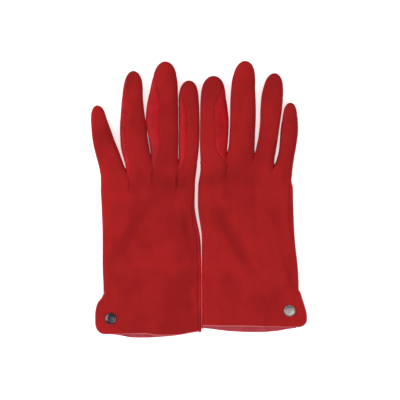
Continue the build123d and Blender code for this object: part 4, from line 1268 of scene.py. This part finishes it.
for side, glove in GLOVES.items():
    i = ORDER[side].index("index")
    grid, starts, line, _ = hands[side][i]
    first, count = starts["palm"]
    row = float(np.interp(0.84, line["v"], np.arange(len(line["v"]))))
    cell = float(np.linalg.norm(grid[int(row) + 1, first + count // 2] - grid[int(row), first + count // 2]))
    wide = np.linalg.norm(np.diff(grid[int(row), first:first + count], axis=0), axis=1)
    pad_on(f"{side}_index", grid, row, first + count / 2, cell, float(wide[count // 2 - 2:count // 2 + 2].mean()),
           lambda piece: bend(piece, line), f"{side}_index_touch_pad")
    grid, ahead = thumbs[side]
    row = float(np.interp(40.0, ((grid[:, 0, :2] - place(glove["thumb"])) @ ahead), np.arange(len(grid))))
    under = int(np.argmin(grid[int(row), :, 2] + 0.001 * np.abs(((grid[int(row), :, :2]
                - place(glove["thumb"])) @ np.array([ahead[1], -ahead[0]])))))
    cell = float(np.linalg.norm(grid[int(row) + 1, under] - grid[int(row), under]))
    wide = float(np.linalg.norm(grid[int(row), (under + 1) % THUMB_SIDES] - grid[int(row), under]))
    pad_on(f"{side}_thumb", grid, row, float(under), cell, wide,
           lambda piece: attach(piece, f"{side}_thumb"), f"{side}_thumb_touch_pad")
    print(side, "pads laid on the index finger and the thumb")

# %% [markdown]
# ## Table and light
# A pale plain table and three large soft lights give the even, nearly shadowless look of a
# product table. The light from the left is a little stronger, so the folds still read.

# %% stage
def table():
    """A flat sheet far wider than the gloves."""
    grid = np.stack([*np.meshgrid(np.linspace(-1.5, 1.5, 3), np.linspace(-1.5, 1.5, 3)), np.zeros((3, 3))], axis=2)
    mesh = bpy.data.meshes.new("table")
    index = np.arange(9).reshape(3, 3)
    faces = np.stack([index[:-1, :-1], index[:-1, 1:], index[1:, 1:], index[1:, :-1]], axis=2).reshape(-1, 4)
    mesh.from_pydata(grid.reshape(-1, 3) - (0.0, 0.0, 0.0003), [], faces.tolist())
    piece = put("table", mesh)
    finish = Finish("table_white")
    paper = finish.noise(2.0, 2.0, 0.5)
    finish.surface(finish.mix(paper, (0.93, 0.93, 0.93, 1), (0.95, 0.95, 0.95, 1)), 0.95, None,
                   Emission_Color=(1.0, 1.0, 1.0, 1), Emission_Strength=0.55, Specular_IOR_Level=0.1)
    piece.data.materials.append(finish.material)
    return piece


table()


def soft_light(name, position, size, power):
    """A square area light that looks at the gloves."""
    data = bpy.data.lights.new(name, "AREA")
    data.size, data.energy = size, power
    lamp = put(name, data)
    lamp.location = position
    away = np.array(position) / np.linalg.norm(position)
    tilt, turn = math.acos(away[2]), math.atan2(away[0], -away[1])
    lamp.rotation_euler = (tilt, 0.0, turn)
    return lamp


soft_light("left_light", (-1.2, 0.0, 1.0), 0.9, 15.0)
soft_light("right_light", (1.0, -0.5, 1.3), 1.0, 8.0)
soft_light("top_light", (0.0, -0.7, 2.1), 1.6, 11.0)
world = bpy.data.worlds.new("room")
world.use_nodes = True
world.node_tree.nodes["Background"].inputs["Color"].default_value = (1.0, 1.0, 1.0, 1.0)
world.node_tree.nodes["Background"].inputs["Strength"].default_value = 0.40
bpy.context.scene.world = world
bpy.context.scene.view_settings.view_transform = "Standard"
